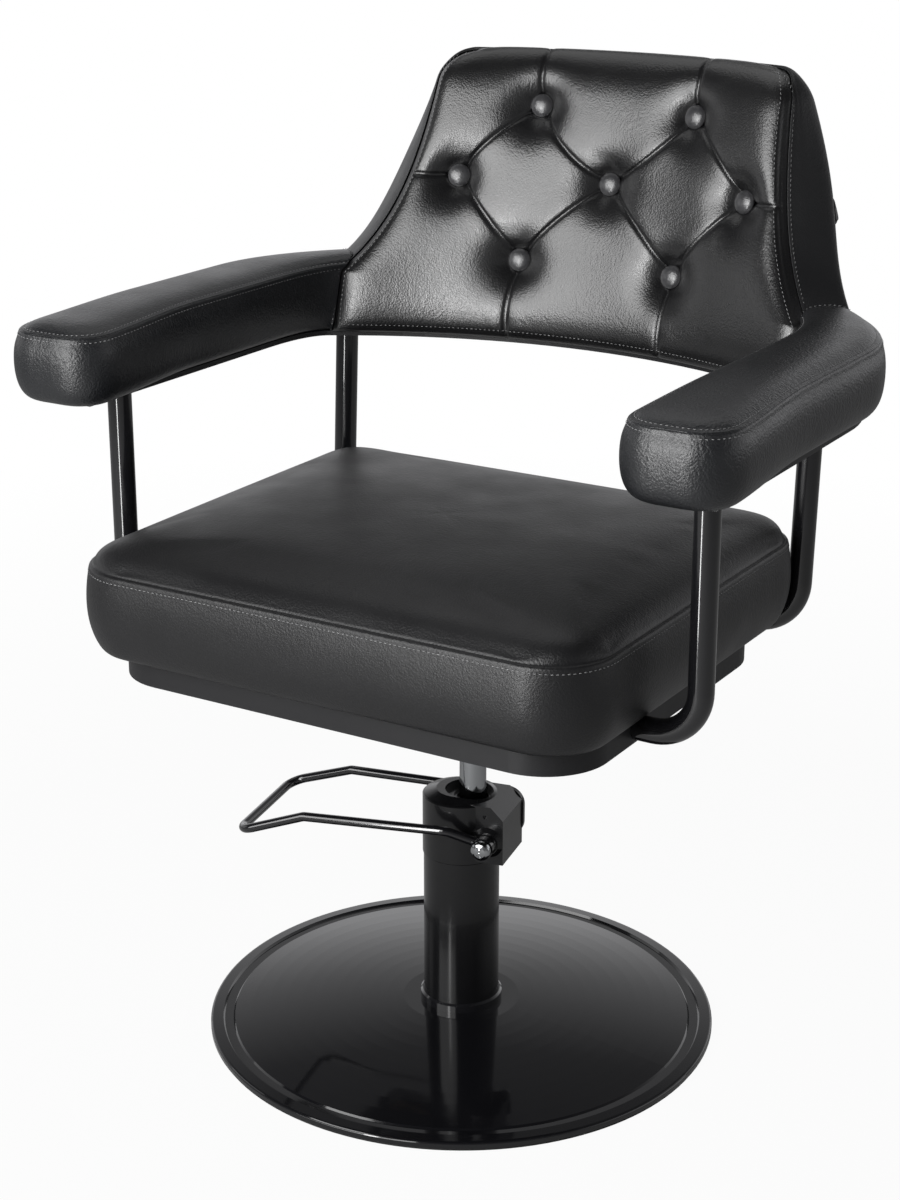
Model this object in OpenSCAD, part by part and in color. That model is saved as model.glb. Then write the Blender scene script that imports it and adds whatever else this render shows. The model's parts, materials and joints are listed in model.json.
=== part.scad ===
// Hydraulic salon chair: round base, foot pump with a loop lever, swivelling seat on a
// lift rod, tube frame, two box arms and a curved, button-tufted back.
// Millimetres. The origin is the centre of the base's underside. The chair faces -Y.

/* [Base] */
// Diameter of the round base
base_d = 520; // [400:10:700]
// Height of the base's outer edge above the floor
base_edge_h = 9.5; // [8:0.5:14]
// How far the middle of the base stands above its edge
base_rise = 14.5; // [8:0.5:30]
// Sheet thickness of the base
base_t = 5; // [4:0.5:8]
// Width of the raised rim
rim_w = 13; // [8:1:20]
// Width of the groove inside the rim
groove_w = 12; // [6:1:20]
// Depth of the groove inside the rim
groove_depth = 1.6; // [0.8:0.2:3]
// Thickness of the rubber ring that the base stands on
ring_t = 3; // [2:0.5:5]
// Width of the rubber ring
ring_w = 12; // [6:1:20]
// Thickness of the ballast disc under the base
ballast_t = 5.5; // [3:0.5:6]
// Diameter of the ballast disc
ballast_d = 380; // [300:10:400]

/* [Pump] */
// Outer diameter of the pump tube
tube_d = 77; // [70:1:90]
// Wall of the pump tube
tube_wall = 3; // [2:0.5:4]
// Height of the seam between pump tube and pump head
head_z = 189; // [160:1:220]
// Height of the pump head above that seam, to the lip of its recess
head_h = 69; // [60:1:80]
// Diameter of the pump head
head_d = 79; // [75:1:95]
// Height of the bevel round the top of the head
head_bevel_h = 5; // [3:0.5:8]
// Diameter of the recess round the rod
recess_d = 49; // [46:0.5:54]
// Depth of the recess round the rod
recess_depth = 6; // [4:0.5:10]
// Diameter of the foot collar
collar_d = 84; // [80:1:100]
// Height of the foot collar
collar_h = 9; // [6:0.5:14]
// Angle of the pump block, seen from above
pump_turn = 11; // [0:1:30]
// Distance of the lift rod from the middle of the tube, towards the block
rod_offset = 12; // [8:0.5:12]
// Diameter of the lift rod
rod_d = 27; // [24:0.5:30]
// Outer diameter of the inner cylinder
cyl_d = 38; // [36:0.5:39]
// Wall of the inner cylinder
cyl_wall = 2.5; // [2:0.25:3]

/* [Pump block] */
// Reach of the block from the middle of the tube
block_reach = 54.5; // [50:0.5:65]
// Width of the block
block_w = 60; // [54:1:70]
// Height of the block
block_h = 61; // [56:1:64]
// Gap between the block's underside and the head's seam
block_lift = 4; // [2:1:10]
// Size of the chamfer along the block's top edge
block_chamfer = 13; // [8:1:16]

/* [Foot lever] */
// Diameter of the lever's round bar
lever_d = 9.5; // [8:0.5:12]
// Height of the lever's pivot
pivot_z = 216; // [210:1:222]
// Distance of the pivot from the middle of the tube
pivot_u = 38.5; // [38:0.5:40]
// Diameter of the lever shaft
shaft_d = 12; // [10:0.5:12]
// Diameter of the lever's hubs
lever_hub_d = 22; // [20:1:26]
// Length of a lever hub
lever_hub_l = 12; // [10:1:16]
// Reach of the pedal from the middle of the tube
pedal_reach = 218; // [180:1:260]
// Length of the pedal bar
pedal_w = 136; // [110:1:160]
// Drop of the pedal below the arms
pedal_drop = 25; // [10:1:40]
// Length of the sloping part behind the pedal
pedal_slope_l = 71; // [50:1:90]
// Distance between the lever's arms beside the pump
lever_gap_w = 112; // [104:1:130]
// Rise of the lever's arms above the pivot
lever_rise = 18; // [12:1:22]

/* [Seat] */
// Width of the seat at its seam
seat_w = 542; // [480:2:600]
// Depth of the seat at its seam
seat_d = 462; // [420:2:520]
// How far the seat's front edge lies before the rod
seat_front = 286; // [260:2:320]
// Corner radius of the seat
seat_corner_r = 60; // [40:1:90]
// Height of the seat's top seam
seat_seam_z = 528; // [480:1:600]
// Crown of the seat above its seam
seat_crown = 34; // [15:1:45]
// How far the seat's sides swell past the seam
seat_swell = 6; // [2:0.5:10]
// Height of the underside of the pan
pan_z = 416; // [380:1:440]
// How far the pan's sides lie inside the seat's seam
pan_side_in = 18.5; // [10:0.5:40]
// How far the pan's front edge lies behind the seat's front seam
pan_front_in = 24; // [10:1:50]
// How far the pan's rear edge lies before the seat's rear seam
pan_rear_in = 44; // [30:1:80]
// Corner radius of the pan
pan_corner_r = 62; // [40:1:80]
// Thickness of the pan's steel
pan_t = 2.5; // [1.5:0.5:4]
// Thickness of the seat board
board_t = 15; // [10:1:18]

/* [Mounting] */
// Side of the mounting plate under the pan
mount_w = 170; // [140:1:220]
// Thickness of the mounting plate
mount_t = 6; // [4:0.5:8]
// Spacing of the mounting bolts
mount_pitch = 130; // [110:1:180]
// Height of the hub that holds the rod
hub_h = 28; // [24:1:30]
// Diameter of the hub at the plate
hub_d = 62; // [54:1:80]
// Diameter of the mounting bolts
bolt_d = 8; // [6:0.5:10]

/* [Tube frame] */
// Diameter of the frame tubes
frame_d = 23.5; // [20:0.5:28]
// Wall of the frame tubes
frame_wall = 2; // [1.5:0.25:3]
// Bend radius of the frame tubes
frame_bend_r = 44; // [38:1:50]
// How far the middle of each front upright stands outside the seat's seam
front_clear = 42; // [24:1:60]
// How far the middle of each rear upright stands inside the seat's side seam
rear_side_in = 3; // [-10:1:4]
// How far the front uprights stand behind the seat's front seam
front_tube_in = 142; // [110:1:170]
// How far the rear uprights stand before the seat's rear seam
rear_tube_in = 4; // [-10:1:6]
// Backward lean of the rear uprights in degrees
rear_lean = 3.1; // [0:0.1:4]
// Straight stub between a bend and its joint
stub_l = 8; // [6:1:20]
// Length of the spigots inside the tube joints
spigot_l = 30; // [20:1:60]

/* [Arms] */
// Height of the arms' underside
arm_z = 667; // [640:1:700]
// Height of the arms up to their seam
arm_h = 69; // [60:1:80]
// Crown of the arms above their seam
arm_crown = 9; // [4:0.5:14]
// Width of an arm at its seam
arm_w = 88; // [80:1:96]
// How far the middle of each arm lies outside its front upright
arm_out = 7; // [0:1:12]
// How far the arms' front ends lie behind the seat's front seam
arm_front_in = 46; // [30:1:90]
// Distance from where the arms start to curve in to the middle of the back's front seam
arm_bend_l = 198; // [170:1:230]
// Thickness of the rail under arms and back
rail_t = 5; // [4:0.5:8]

/* [Back] */
// Height of the back, from the arms' underside to its top
back_h = 283; // [240:1:340]
// How far each upper side of the back lies inside the seat's seam
back_side_in = 83; // [60:1:110]
// How much wider the back is where it meets the arms
back_flare = 72; // [50:1:72]
// Height over which that flare fades
back_flare_l = 76; // [60:1:100]
// Radius of the curve of the back, seen from above
back_r = 480; // [440:5:700]
// Backward lean of the back in degrees
back_lean = 16.1; // [8:0.1:18]
// Distance of the back's front seam behind the seat's rear seam, at the middle row of buttons
back_behind = 92; // [84:1:124]
// Thickness of the back
back_t = 57; // [52:1:76]
// Crown of the tufted pad
tuft_crown = 17; // [8:1:24]
// Diameter of the buttons
button_d = 24; // [18:1:30]
// Depth of the middle row of buttons below the top of the back
tuft_drop = 123; // [112:1:134]
// Height from the middle row to the top row
tuft_up = 72; // [60:1:80]
// Height from the middle row down to the bottom row
tuft_down = 81; // [60:1:90]
// Distance of the top and bottom buttons from the middle
tuft_x = 87.5; // [70:0.5:100]
// Distance of the outer buttons from the middle
tuft_wide_x = 163; // [150:1:170]

/* [Hidden] */

$fn = 64;
// Overrun of every cut
over = 1;
// Clearance between soft parts and their neighbours
soft_gap = 0.3;
// Radial clearance of a running fit
run_gap = 0.05;
// Clearance between pieces that move past each other
move_gap = 0.3;

tube_r = tube_d / 2;
head_r = head_d / 2;
rod_r = rod_d / 2;
cyl_r = cyl_d / 2;
frame_r = frame_d / 2;
lever_r = lever_d / 2;
shaft_r = shaft_d / 2;
base_r = base_d / 2;
bolt_r = bolt_d / 2;
rod_x = rod_offset * cos(pump_turn);
rod_y = rod_offset * sin(pump_turn);

// Base: flat middle, domed disc, groove and raised rim
base_flat_r = 60;
ring_edge = 2;
skirt_gap = 1;
base_top_z = base_edge_h + base_rise;
groove_r = base_r - rim_w - groove_w;
rim_round = 3;
hub_t = 11;
hub_under_z = base_top_z - hub_t;
flange_t = 7;
flange_z = hub_under_z - flange_t;
flange_d = 112;
flange_pitch_r = 48;
flange_bolt_r = 4;
bolt_head_share = 1.6;
socket_share = 0.7;
bolt_count = 4;
dome_steps = 10;
rim_steps = 5;
tube_cap_t = 4;
centre_foot_r = 30;

// Pump
head_top_z = head_z + head_h;
recess_floor_z = head_top_z - recess_depth;
bush_l = 13;
gland_t = 7;
gland_lip = 2;
cyl_top_z = recess_floor_z - gland_t - bush_l;
cyl_bottom_z = flange_z + tube_cap_t;
wiper_t = 3;
wiper_w = 2.6;
recess_shift_share = 0.7;
block_z = head_z + block_lift;
block_top_z = block_z + block_h;
boss_d = 32;
boss_tip_d = 24;
boss_l = 4;
rear_boss_d = 35;
rear_boss_rise = 18;
cavity_l = 12;
cavity_w = 18;
cavity_up = 7;
cavity_down = 8;
shaft_room = 0.3;
bush_wall = 2;
bush_in = 11;
screw_d = 5;
screw_l = 6;
screw_u = 36;
screw_drop = 11;

// Places that follow from the seat
seat_rear = seat_d - seat_front;
pan_w = seat_w - 2 * pan_side_in;
pan_d = seat_d - pan_front_in - pan_rear_in;
pan_front = seat_front - pan_front_in;
front_gap_w = seat_w + 2 * front_clear;
rear_gap_w = seat_w - 2 * rear_side_in;
front_tube_y = seat_front - front_tube_in;
rear_tube_y = seat_rear - rear_tube_in;
arm_gap_w = front_gap_w + 2 * arm_out;
arm_front = seat_front - arm_front_in;
back_half_w = seat_w / 2 - back_side_in;
back_y = seat_rear + back_behind;
arm_bend_y = back_y - arm_bend_l;

// Plunger and cam inside the block
cam_arm = 8;
cam_r = 3;
cam_t = 4.8;
cam_w = 8;
plunger_r = 3;
plunger_gap = 0.2;
plunger_z = pivot_z + cam_r + plunger_gap;
plunger_l = 14;
plunger_foot = 4;
plunger_guide_l = 4;
plunger_bore_r = 5;
plug_t = 3;
bore_h = 15;
plug_z = pivot_z + cavity_up + bore_h;
spring_wire_r = 0.6;
spring_r = 4;
spring_curls = 5;
spring_rings = 8;
spring_sides = 6;

// Lift travel, and the heights that follow from it
lift_up = 50;
lift_down = 110;
piston_h = 20;
piston_floor_gap = 6;
piston_z = cyl_bottom_z + piston_floor_gap + lift_down;
piston_top_z = piston_z + piston_h;
rod_spigot_r = 8;
clip_t = 2;
clip_r = 11;
seal_h = 5;
seal_depth = 3;

// Seat stack
frame_z = pan_z + pan_t + frame_r;
pan_top_z = pan_z + pan_t + frame_d;
board_z = pan_top_z;
board_inset = 19;
cushion_z = pan_top_z;
mount_z = pan_z - mount_t;
hub_z = mount_z - hub_h;
hub_tip_share = 0.8;
rod_top_z = pan_z + pan_t;
mount_corner_r = 14;
joint_s = frame_bend_r + stub_l;
lug_w = 40;
lug_t = 4;
lug_x = 110;
lug_l = 38;
lug_tail = 6;
lug_screw_r = 2.5;
lug_screw_l = 12;
lug_screw_set = 12;
screw_head_t = 2;

// Rail under the arms and the back
rail_z = arm_z - rail_t;
rail_in_share = 0.15;
rail_out_share = 0.85;
rail_screw_r = 2.5;
rail_screw_l = 16;
rail_steps = 12;
arm_half = arm_w / 2;
arm_x = arm_gap_w / 2;
arm_in_x = arm_x - arm_half;
arm_out_x = arm_x + arm_half;
core_t = 20;
core_w = 50;
core_in = 24;
core_short = 10;
core_front = arm_front - core_in;
core_rear = arm_bend_y - core_short;
arm_turn_in_l = 68;
arm_turn_out_l = 75;
arm_turn_in_y = arm_bend_y + arm_turn_in_l;
arm_turn_out_y = arm_bend_y + arm_turn_out_l;
arm_round_l = 36;
arm_edge_r = 12;
arm_flare = 5;
arm_flare_y = 60;
arm_join_gap = 1;

// Back surfaces
back_bottom_z = arm_z + soft_gap;
back_top_z = arm_z + back_h;
tuft_z = back_top_z - tuft_drop;
back_slope = tan(back_lean);
rim_drop = 6;
back_rim_z = arm_z + arm_h - rim_drop;
back_corner_r = 32;
back_widen = 40;
back_widen_drop = 23;
pad_back = 22;
ply_t = 12;
ply_share = 0.93;
back_taper = 29;
back_taper_l = 140;

// Named angles of a full and a half turn
full = 360;
half = 180;
quarter = 90;

function clampv(v, lo, hi) = min(max(v, lo), hi);
function mix(a, b, t) = a + (b - a) * t;
function unit(v) = v / norm(v);

// Faces of a stack of rings, each with n points: its wall, with a flat fan at its first end
function wall_faces(rings, n) = concat(
    [for (k = [0 : rings - 2], i = [0 : n - 1])
        [k * n + i, (k + 1) * n + i, (k + 1) * n + (i + 1) % n]],
    [for (k = [0 : rings - 2], i = [0 : n - 1])
        [k * n + i, (k + 1) * n + (i + 1) % n, k * n + (i + 1) % n]],
    [for (i = [0 : n - 1]) [rings * n, i, (i + 1) % n]]);
function ring_faces(rings, n) = concat(wall_faces(rings, n),
    [for (i = [0 : n - 1]) [rings * n + 1, (rings - 1) * n + (i + 1) % n, (rings - 1) * n + i]]);

function mean(points) = [for (a = [0 : 2]) sum([for (p = points) p[a]]) / len(points)];
function sum(v, i = 0) = i < len(v) ? v[i] + sum(v, i + 1) : 0;

module ring_stack(rings) {
    n = len(rings[0]);
    last = len(rings) - 1;
    points = concat([for (ring = rings, p = ring) p], [mean(rings[0]), mean(rings[last])]);
    polyhedron(points = points, faces = ring_faces(len(rings), n), convexity = 6);
}

// Points of a rounded rectangle, counter-clockwise seen from above
corner_steps = 8;
edge_steps = 3;
function corner_centres(w, d, r) = [
    [w - r, d - r, 0], [r - w, d - r, 1], [r - w, r - d, 2], [w - r, r - d, 3]];
function rounded_ring(w, d, r, z) = [
    for (c = corner_centres(w, d, r), i = [0 : corner_steps])
        [c[0] + r * cos(quarter * (c[2] + i / corner_steps)),
         c[1] + r * sin(quarter * (c[2] + i / corner_steps)), z]];
function filled_ring(ring) = [
    for (i = [0 : len(ring) - 1], t = [0 : edge_steps - 1])
        let (b = ring[(i + 1) % len(ring)])
        if (t == 0 || (i + 1) % (corner_steps + 1) == 0)
            mix(ring[i], b, t / edge_steps)];

module rounded_rect(w, d, r) {
    square([w - 2 * r, d], center = true);
    square([w, d - 2 * r], center = true);
    for (sx = [-1, 1], sy = [-1, 1])
        translate([sx * (w / 2 - r), sy * (d / 2 - r)])
            circle(r = r);
}

// Round bar along points, with a bend of radius bend_r at each inner point
module bar_run(points, bend_r, r) {
    last = len(points) - 1;
    for (i = [0 : last - 1]) {
        a = points[i];
        b = points[i + 1];
        dir = unit(b - a);
        start = i == 0 ? a : a + dir * bend_cut(points, i, bend_r);
        end = i == last - 1 ? b : b - dir * bend_cut(points, i + 1, bend_r);
        bar_piece(start, end, r);
        if (i < last - 1)
            bar_bend(points, i + 1, bend_r, r);
    }
}

function turn_of(points, i) = acos(clampv(
    unit(points[i] - points[i - 1]) * unit(points[i + 1] - points[i]), -1, 1));
function bend_cut(points, i, bend_r) = bend_r * tan(turn_of(points, i) / 2);

module frame_of(origin, x, y) {
    z = cross(x, y);
    multmatrix([
        [x[0], y[0], z[0], origin[0]],
        [x[1], y[1], z[1], origin[1]],
        [x[2], y[2], z[2], origin[2]],
        [0, 0, 0, 1]]) children();
}

module bar_piece(a, b, r) {
    z = unit(b - a);
    side = abs(z[2]) < 0.9 ? [0, 0, 1] : [1, 0, 0];
    x = unit(cross(side, z));
    frame_of(a, x, cross(z, x))
        cylinder(r = r, h = norm(b - a));
}

module bar_bend(points, i, bend_r, r) {
    p = points[i];
    a = unit(p - points[i - 1]);
    b = unit(points[i + 1] - p);
    turn = turn_of(points, i);
    centre = p + unit(b - a) * bend_r / cos(turn / 2);
    from = p - a * bend_r * tan(turn / 2);
    frame_of(centre, unit(from - centre), a)
        rotate_extrude(angle = turn)
            translate([bend_r, 0])
                circle(r = r);
}

// Places and directions along a bent bar, and the ring of points round one of them
bend_steps = 6;
bar_sides = 24;
function run_samples(points, bend_r) =
    let (last = len(points) - 1)
    concat(
        [[points[0], unit(points[1] - points[0])]],
        [for (i = [1 : last - 1], k = [0 : bend_steps])
            let (p = points[i],
                a = unit(p - points[i - 1]),
                b = unit(points[i + 1] - p),
                turn = turn_of(points, i),
                centre = p + unit(b - a) * bend_r / cos(turn / 2),
                spoke = unit(p - a * bend_r * tan(turn / 2) - centre),
                t = turn * k / bend_steps)
            [centre + bend_r * (spoke * cos(t) + a * sin(t)), a * cos(t) - spoke * sin(t)]],
        [[points[last], unit(points[last] - points[last - 1])]]);
function bar_ring(q, r) =
    let (x = unit(cross([0, 0, 1], q[1])), y = cross(q[1], x))
    [for (i = [0 : bar_sides - 1])
        q[0] + r * (x * cos(full * i / bar_sides) + y * sin(full * i / bar_sides))];

// Frame turned with the pump: +X is towards the block
module pump_frame() {
    rotate([0, 0, pump_turn]) children();
}

// Frame of the seat: its origin is on the lift rod's axis
module seat_frame() {
    translate([rod_x, rod_y, 0]) children();
}

// Profile height of the domed top at radius r
function dome_z(r) = base_edge_h + base_rise * (1 - pow(r / groove_r, 2))
    / (1 - pow(base_flat_r / groove_r, 2));

module base_profile() {
    rim_in = base_r - rim_w;
    polygon(concat(
        [[tube_r + run_gap, hub_under_z], [tube_r + run_gap, base_top_z], [base_flat_r, base_top_z]],
        [for (i = [1 : dome_steps])
            let (r = mix(base_flat_r, groove_r, i / dome_steps))
            [r, dome_z(r)]],
        [[groove_r + groove_depth, base_edge_h - groove_depth],
         [rim_in - groove_depth, base_edge_h - groove_depth],
         [rim_in, base_edge_h + groove_depth / 2]],
        [for (i = [0 : rim_steps])
            let (a = quarter * (1 - i / rim_steps))
            [base_r - rim_round + rim_round * cos(a), base_edge_h - rim_round + rim_round * sin(a)]],
        [[base_r, ring_t], [base_r - rim_w - base_t, ring_t]],
        [for (i = [0 : dome_steps])
            let (r = mix(groove_r - base_t, base_flat_r + base_t, i / dome_steps))
            [r, max(dome_z(r) - base_t, ring_t + skirt_gap)]],
        [[base_flat_r + base_t, hub_under_z]]));
}

module base_plate() {
    color("#0c0c0d")
    difference() {
        rotate_extrude($fn = 160)
            base_profile();
        bolt_ring(flange_pitch_r)
            translate([0, 0, hub_under_z - over])
                cylinder(r = flange_bolt_r + run_gap, h = hub_t - flange_bolt_r + over, $fn = 32);
    }
}

module bolt_ring(pitch_r) {
    for (i = [0 : bolt_count - 1])
        rotate([0, 0, full * (i + 1 / 2) / bolt_count])
            translate([pitch_r, 0, 0])
                children();
}

module base_ring() {
    color("#161616")
    difference() {
        cylinder(r = base_r - ring_edge, h = ring_t, $fn = 160);
        translate([0, 0, -over])
            cylinder(r = base_r - ring_edge - ring_w, h = ring_t + 2 * over, $fn = 160);
    }
}

module ballast_disc() {
    top = dome_z(ballast_d / 2) - base_t - soft_gap;
    color("#3a3a3c")
    translate([0, 0, top - ballast_t])
        difference() {
            cylinder(r = ballast_d / 2, h = ballast_t, $fn = 120);
            translate([0, 0, -over])
                cylinder(r = base_flat_r + base_t + over, h = ballast_t + 2 * over);
        }
}

module centre_foot() {
    color("#161616")
    cylinder(r = centre_foot_r, h = flange_z);
}

module foot_flange() {
    color("#2b2c2e")
    difference() {
        translate([0, 0, flange_z])
            cylinder(r = flange_d / 2, h = flange_t);
        translate([0, 0, flange_z - over])
            cylinder(r = tube_r, h = flange_t + 2 * over);
        bolt_ring(flange_pitch_r)
            translate([0, 0, flange_z - over])
                cylinder(r = flange_bolt_r + run_gap, h = flange_t + 2 * over, $fn = 32);
    }
}

module flange_bolts() {
    head_t = flange_bolt_r;
    color("#8d9094")
    bolt_ring(flange_pitch_r) {
        translate([0, 0, flange_z - head_t])
            difference() {
                cylinder(r = flange_bolt_r * bolt_head_share, h = head_t, $fn = 32);
                translate([0, 0, -over])
                    cylinder(r = flange_bolt_r * socket_share, h = head_t / 2 + over, $fn = 6);
            }
        translate([0, 0, flange_z])
            cylinder(r = flange_bolt_r, h = flange_t + hub_t - 2 * flange_bolt_r, $fn = 32);
    }
}

module foot_collar() {
    edge = 2;
    color("#0e0e0f")
    rotate_extrude($fn = 96)
        polygon([
            [tube_r + run_gap, base_top_z], [collar_d / 2, base_top_z],
            [collar_d / 2, base_top_z + collar_h - edge],
            [collar_d / 2 - edge, base_top_z + collar_h],
            [tube_r + run_gap, base_top_z + collar_h]]);
}

module pump_tube() {
    color("#121213")
    difference() {
        translate([0, 0, flange_z])
            cylinder(r = tube_r, h = head_z - flange_z, $fn = 96);
        translate([0, 0, flange_z - over])
            cylinder(r = tube_r - tube_wall, h = head_z - flange_z + 2 * over, $fn = 96);
    }
}

module tube_cap() {
    color("#2b2c2e")
    translate([0, 0, flange_z])
        cylinder(r = tube_r - tube_wall, h = tube_cap_t, $fn = 96);
}

// Cylinder along Y, from y0 to y1, at place u and height z
module cross_bar(u, z, r, y0, y1) {
    translate([u, y0, z])
        rotate([-quarter, 0, 0])
            cylinder(r = r, h = y1 - y0);
}

module block_body() {
    half_w = block_w / 2;
    translate([0, half_w, 0])
        rotate([quarter, 0, 0])
            linear_extrude(block_w)
                polygon([
                    [0, block_z], [block_reach, block_z],
                    [block_reach, block_top_z - block_chamfer],
                    [block_reach - block_chamfer, block_top_z], [0, block_top_z]]);
    translate([pivot_u, -half_w, pivot_z])
        rotate([quarter, 0, 0])
            cylinder(r1 = boss_d / 2, r2 = boss_tip_d / 2, h = boss_l);
    for (rise = [0, rear_boss_rise])
        cross_bar(pivot_u, pivot_z + rise, rear_boss_d / 2, half_w - over, half_w + boss_l);
    translate([pivot_u - rear_boss_d / 2, half_w - over, pivot_z])
        cube([rear_boss_d, boss_l + over, rear_boss_rise]);
}

module head_body() {
    edge = 1;
    rotate_extrude($fn = 96)
        polygon([
            [0, head_z], [head_r - edge, head_z], [head_r, head_z + edge],
            [head_r, head_top_z - head_bevel_h - edge], [head_r - edge, head_top_z - head_bevel_h],
            [recess_d / 2 + edge, head_top_z], [0, head_top_z]]);
}

module pump_head() {
    face = block_w / 2 + boss_l;
    color("#141415")
    pump_frame()
        difference() {
            union() {
                head_body();
                block_body();
            }
            translate([rod_offset * recess_shift_share, 0, recess_floor_z])
                cylinder(r = recess_d / 2, h = recess_depth + over);
            translate([rod_offset, 0, head_z - over])
                cylinder(r = cyl_r + run_gap, h = recess_floor_z - head_z + 2 * over);
            cross_bar(pivot_u, pivot_z, shaft_r + shaft_room, -face - over, face + over);
            for (side = [-1, 1])
                scale([1, side, 1])
                    cross_bar(pivot_u, pivot_z, shaft_r + bush_wall + run_gap, bush_in, face + over);
            translate([pivot_u, -cavity_w / 2, pivot_z - cavity_down])
                cube([cavity_l, cavity_w, cavity_down + cavity_up]);
            translate([pivot_u + cam_arm, 0, pivot_z])
                cylinder(r = plunger_bore_r, h = plug_z + plug_t - pivot_z);
            cross_bar(screw_u, block_top_z - screw_drop, screw_d / 2, -block_w / 2 - over,
                screw_l - block_w / 2);
        }
}

module inner_cylinder() {
    color("#9a9da1")
    pump_frame()
        translate([rod_offset, 0, cyl_bottom_z])
            difference() {
                cylinder(r = cyl_r, h = cyl_top_z - cyl_bottom_z);
                translate([0, 0, -over])
                    cylinder(r = cyl_r - cyl_wall, h = cyl_top_z - cyl_bottom_z + 2 * over);
            }
}

// Ring round the lift rod, from radius r0 to r1
module rod_ring(z, h, r0, r1) {
    seat_frame()
        translate([0, 0, z])
            difference() {
                cylinder(r = r1, h = h);
                translate([0, 0, -over])
                    cylinder(r = r0, h = h + 2 * over);
            }
}

module guide_bush() {
    color("#a8803c")
    rod_ring(cyl_top_z, bush_l, rod_r + run_gap, cyl_r);
}

module wiper_seal() {
    color("#1a1a1a")
    rod_ring(cyl_top_z + bush_l, wiper_t, rod_r + run_gap, rod_r + wiper_w);
}

module gland_ring() {
    color("#1c1c1d")
    rod_ring(cyl_top_z + bush_l, gland_t - gland_lip, rod_r + wiper_w, cyl_r);
}

module shaft_bushes() {
    face = block_w / 2 + boss_l;
    color("#a8803c")
    pump_frame()
        for (side = [-1, 1])
            scale([1, side, 1])
                difference() {
                    cross_bar(pivot_u, pivot_z, shaft_r + bush_wall, bush_in, face);
                    cross_bar(pivot_u, pivot_z, shaft_r + run_gap, bush_in - over, face + over);
                }
}

module plunger_plug() {
    color("#77797c")
    pump_frame()
        translate([pivot_u + cam_arm, 0, plug_z])
            cylinder(r = plunger_bore_r, h = plug_t);
}

module block_screw() {
    color("#202022")
    pump_frame()
        difference() {
            cross_bar(screw_u, block_top_z - screw_drop, screw_d / 2, screw_l / 4 - block_w / 2,
                screw_l - block_w / 2);
            translate([screw_u, screw_l / 2 - block_w / 2, block_top_z - screw_drop])
                rotate([quarter, 0, 0])
                    cylinder(r = screw_d / 4, h = screw_l, $fn = 6);
        }
}

module plunger() {
    color("#b9bcc0")
    pump_frame()
        translate([pivot_u + cam_arm, 0, plunger_z]) {
            cylinder(r = plunger_r, h = plunger_l);
            translate([0, 0, plunger_foot])
                cylinder(r = plunger_bore_r - run_gap, h = plunger_guide_l);
        }
}

// Points of one ring of the spring's wire
spring_z = plunger_z + plunger_foot + plunger_guide_l;
spring_l = plug_z - spring_z;
spring_pitch = (spring_l - 2 * spring_wire_r) / spring_curls;
spring_gap = spring_pitch - 2 * spring_wire_r;
echo(str("least gap between the spring's curls: ", spring_gap));
function spring_ring(k) =
    let (a = full * k / spring_rings, z = spring_z + spring_wire_r + spring_pitch * k / spring_rings)
    [for (i = [0 : spring_sides - 1])
        let (b = full * i / spring_sides)
        [(spring_r + spring_wire_r * cos(b)) * cos(a), (spring_r + spring_wire_r * cos(b)) * sin(a),
         z + spring_wire_r * sin(b)]];

module plunger_spring() {
    color("#9ea2a6")
    pump_frame()
        translate([pivot_u + cam_arm, 0, 0])
            ring_stack([for (k = [0 : spring_curls * spring_rings]) spring_ring(k)]);
}

module piston_head() {
    color("#b4b6b9")
    difference() {
        rod_ring(piston_z, piston_h, rod_spigot_r + run_gap, cyl_r - cyl_wall - run_gap);
        rod_ring(piston_z + (piston_h - seal_h) / 2, seal_h, cyl_r - cyl_wall - seal_depth, cyl_r);
    }
}

module piston_seal() {
    color("#1a1a1a")
    rod_ring(piston_z + (piston_h - seal_h) / 2, seal_h, cyl_r - cyl_wall - seal_depth,
        cyl_r - cyl_wall - run_gap);
}

// Lever: both arms run from a hub beside the block to the pedal bar
lever_hub_y = block_w / 2 + boss_l + move_gap;
lever_bend_u = 3;
lever_fall = 5;
lever_bend_r = 16;
lever_arm_spread = 7;
lever_top_z = pivot_z + lever_rise;
lever_set_share = 0.25;
lever_root_share = 0.2;
function lever_root(side) = mix([pivot_u, side * (lever_hub_y + lever_hub_l * lever_set_share), pivot_z],
    [lever_bend_u, side * lever_gap_w / 2, lever_top_z], lever_root_share);
function lever_side(side) = [
    lever_root(side),
    [lever_bend_u, side * lever_gap_w / 2, lever_top_z],
    [pedal_slope_l - pedal_reach, side * (lever_gap_w / 2 + lever_arm_spread), lever_top_z - lever_fall],
    [-pedal_reach, side * pedal_w / 2, lever_top_z - lever_fall - pedal_drop]];
function backwards(v) = [for (i = [len(v) - 1 : -1 : 0]) v[i]];

module lever_hub_bars(r) {
    for (side = [-1, 1])
        scale([1, side, 1])
            cross_bar(pivot_u, pivot_z, r, lever_hub_y, lever_hub_y + lever_hub_l);
}

module lever_bar() {
    color("#101011")
    pump_frame()
        difference() {
            ring_stack([for (q = run_samples(concat(lever_side(-1), backwards(lever_side(1))),
                lever_bend_r)) bar_ring(q, lever_r)]);
            lever_hub_bars(lever_hub_d / 2);
        }
}

module lever_hubs() {
    color("#121213")
    pump_frame()
        difference() {
            lever_hub_bars(lever_hub_d / 2);
            cross_bar(pivot_u, pivot_z, shaft_r, -block_w, block_w);
        }
}

module lever_shaft() {
    end_y = lever_hub_y + lever_hub_l;
    color("#c4c7ca")
    pump_frame()
        cross_bar(pivot_u, pivot_z, shaft_r, -end_y, end_y);
}

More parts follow.
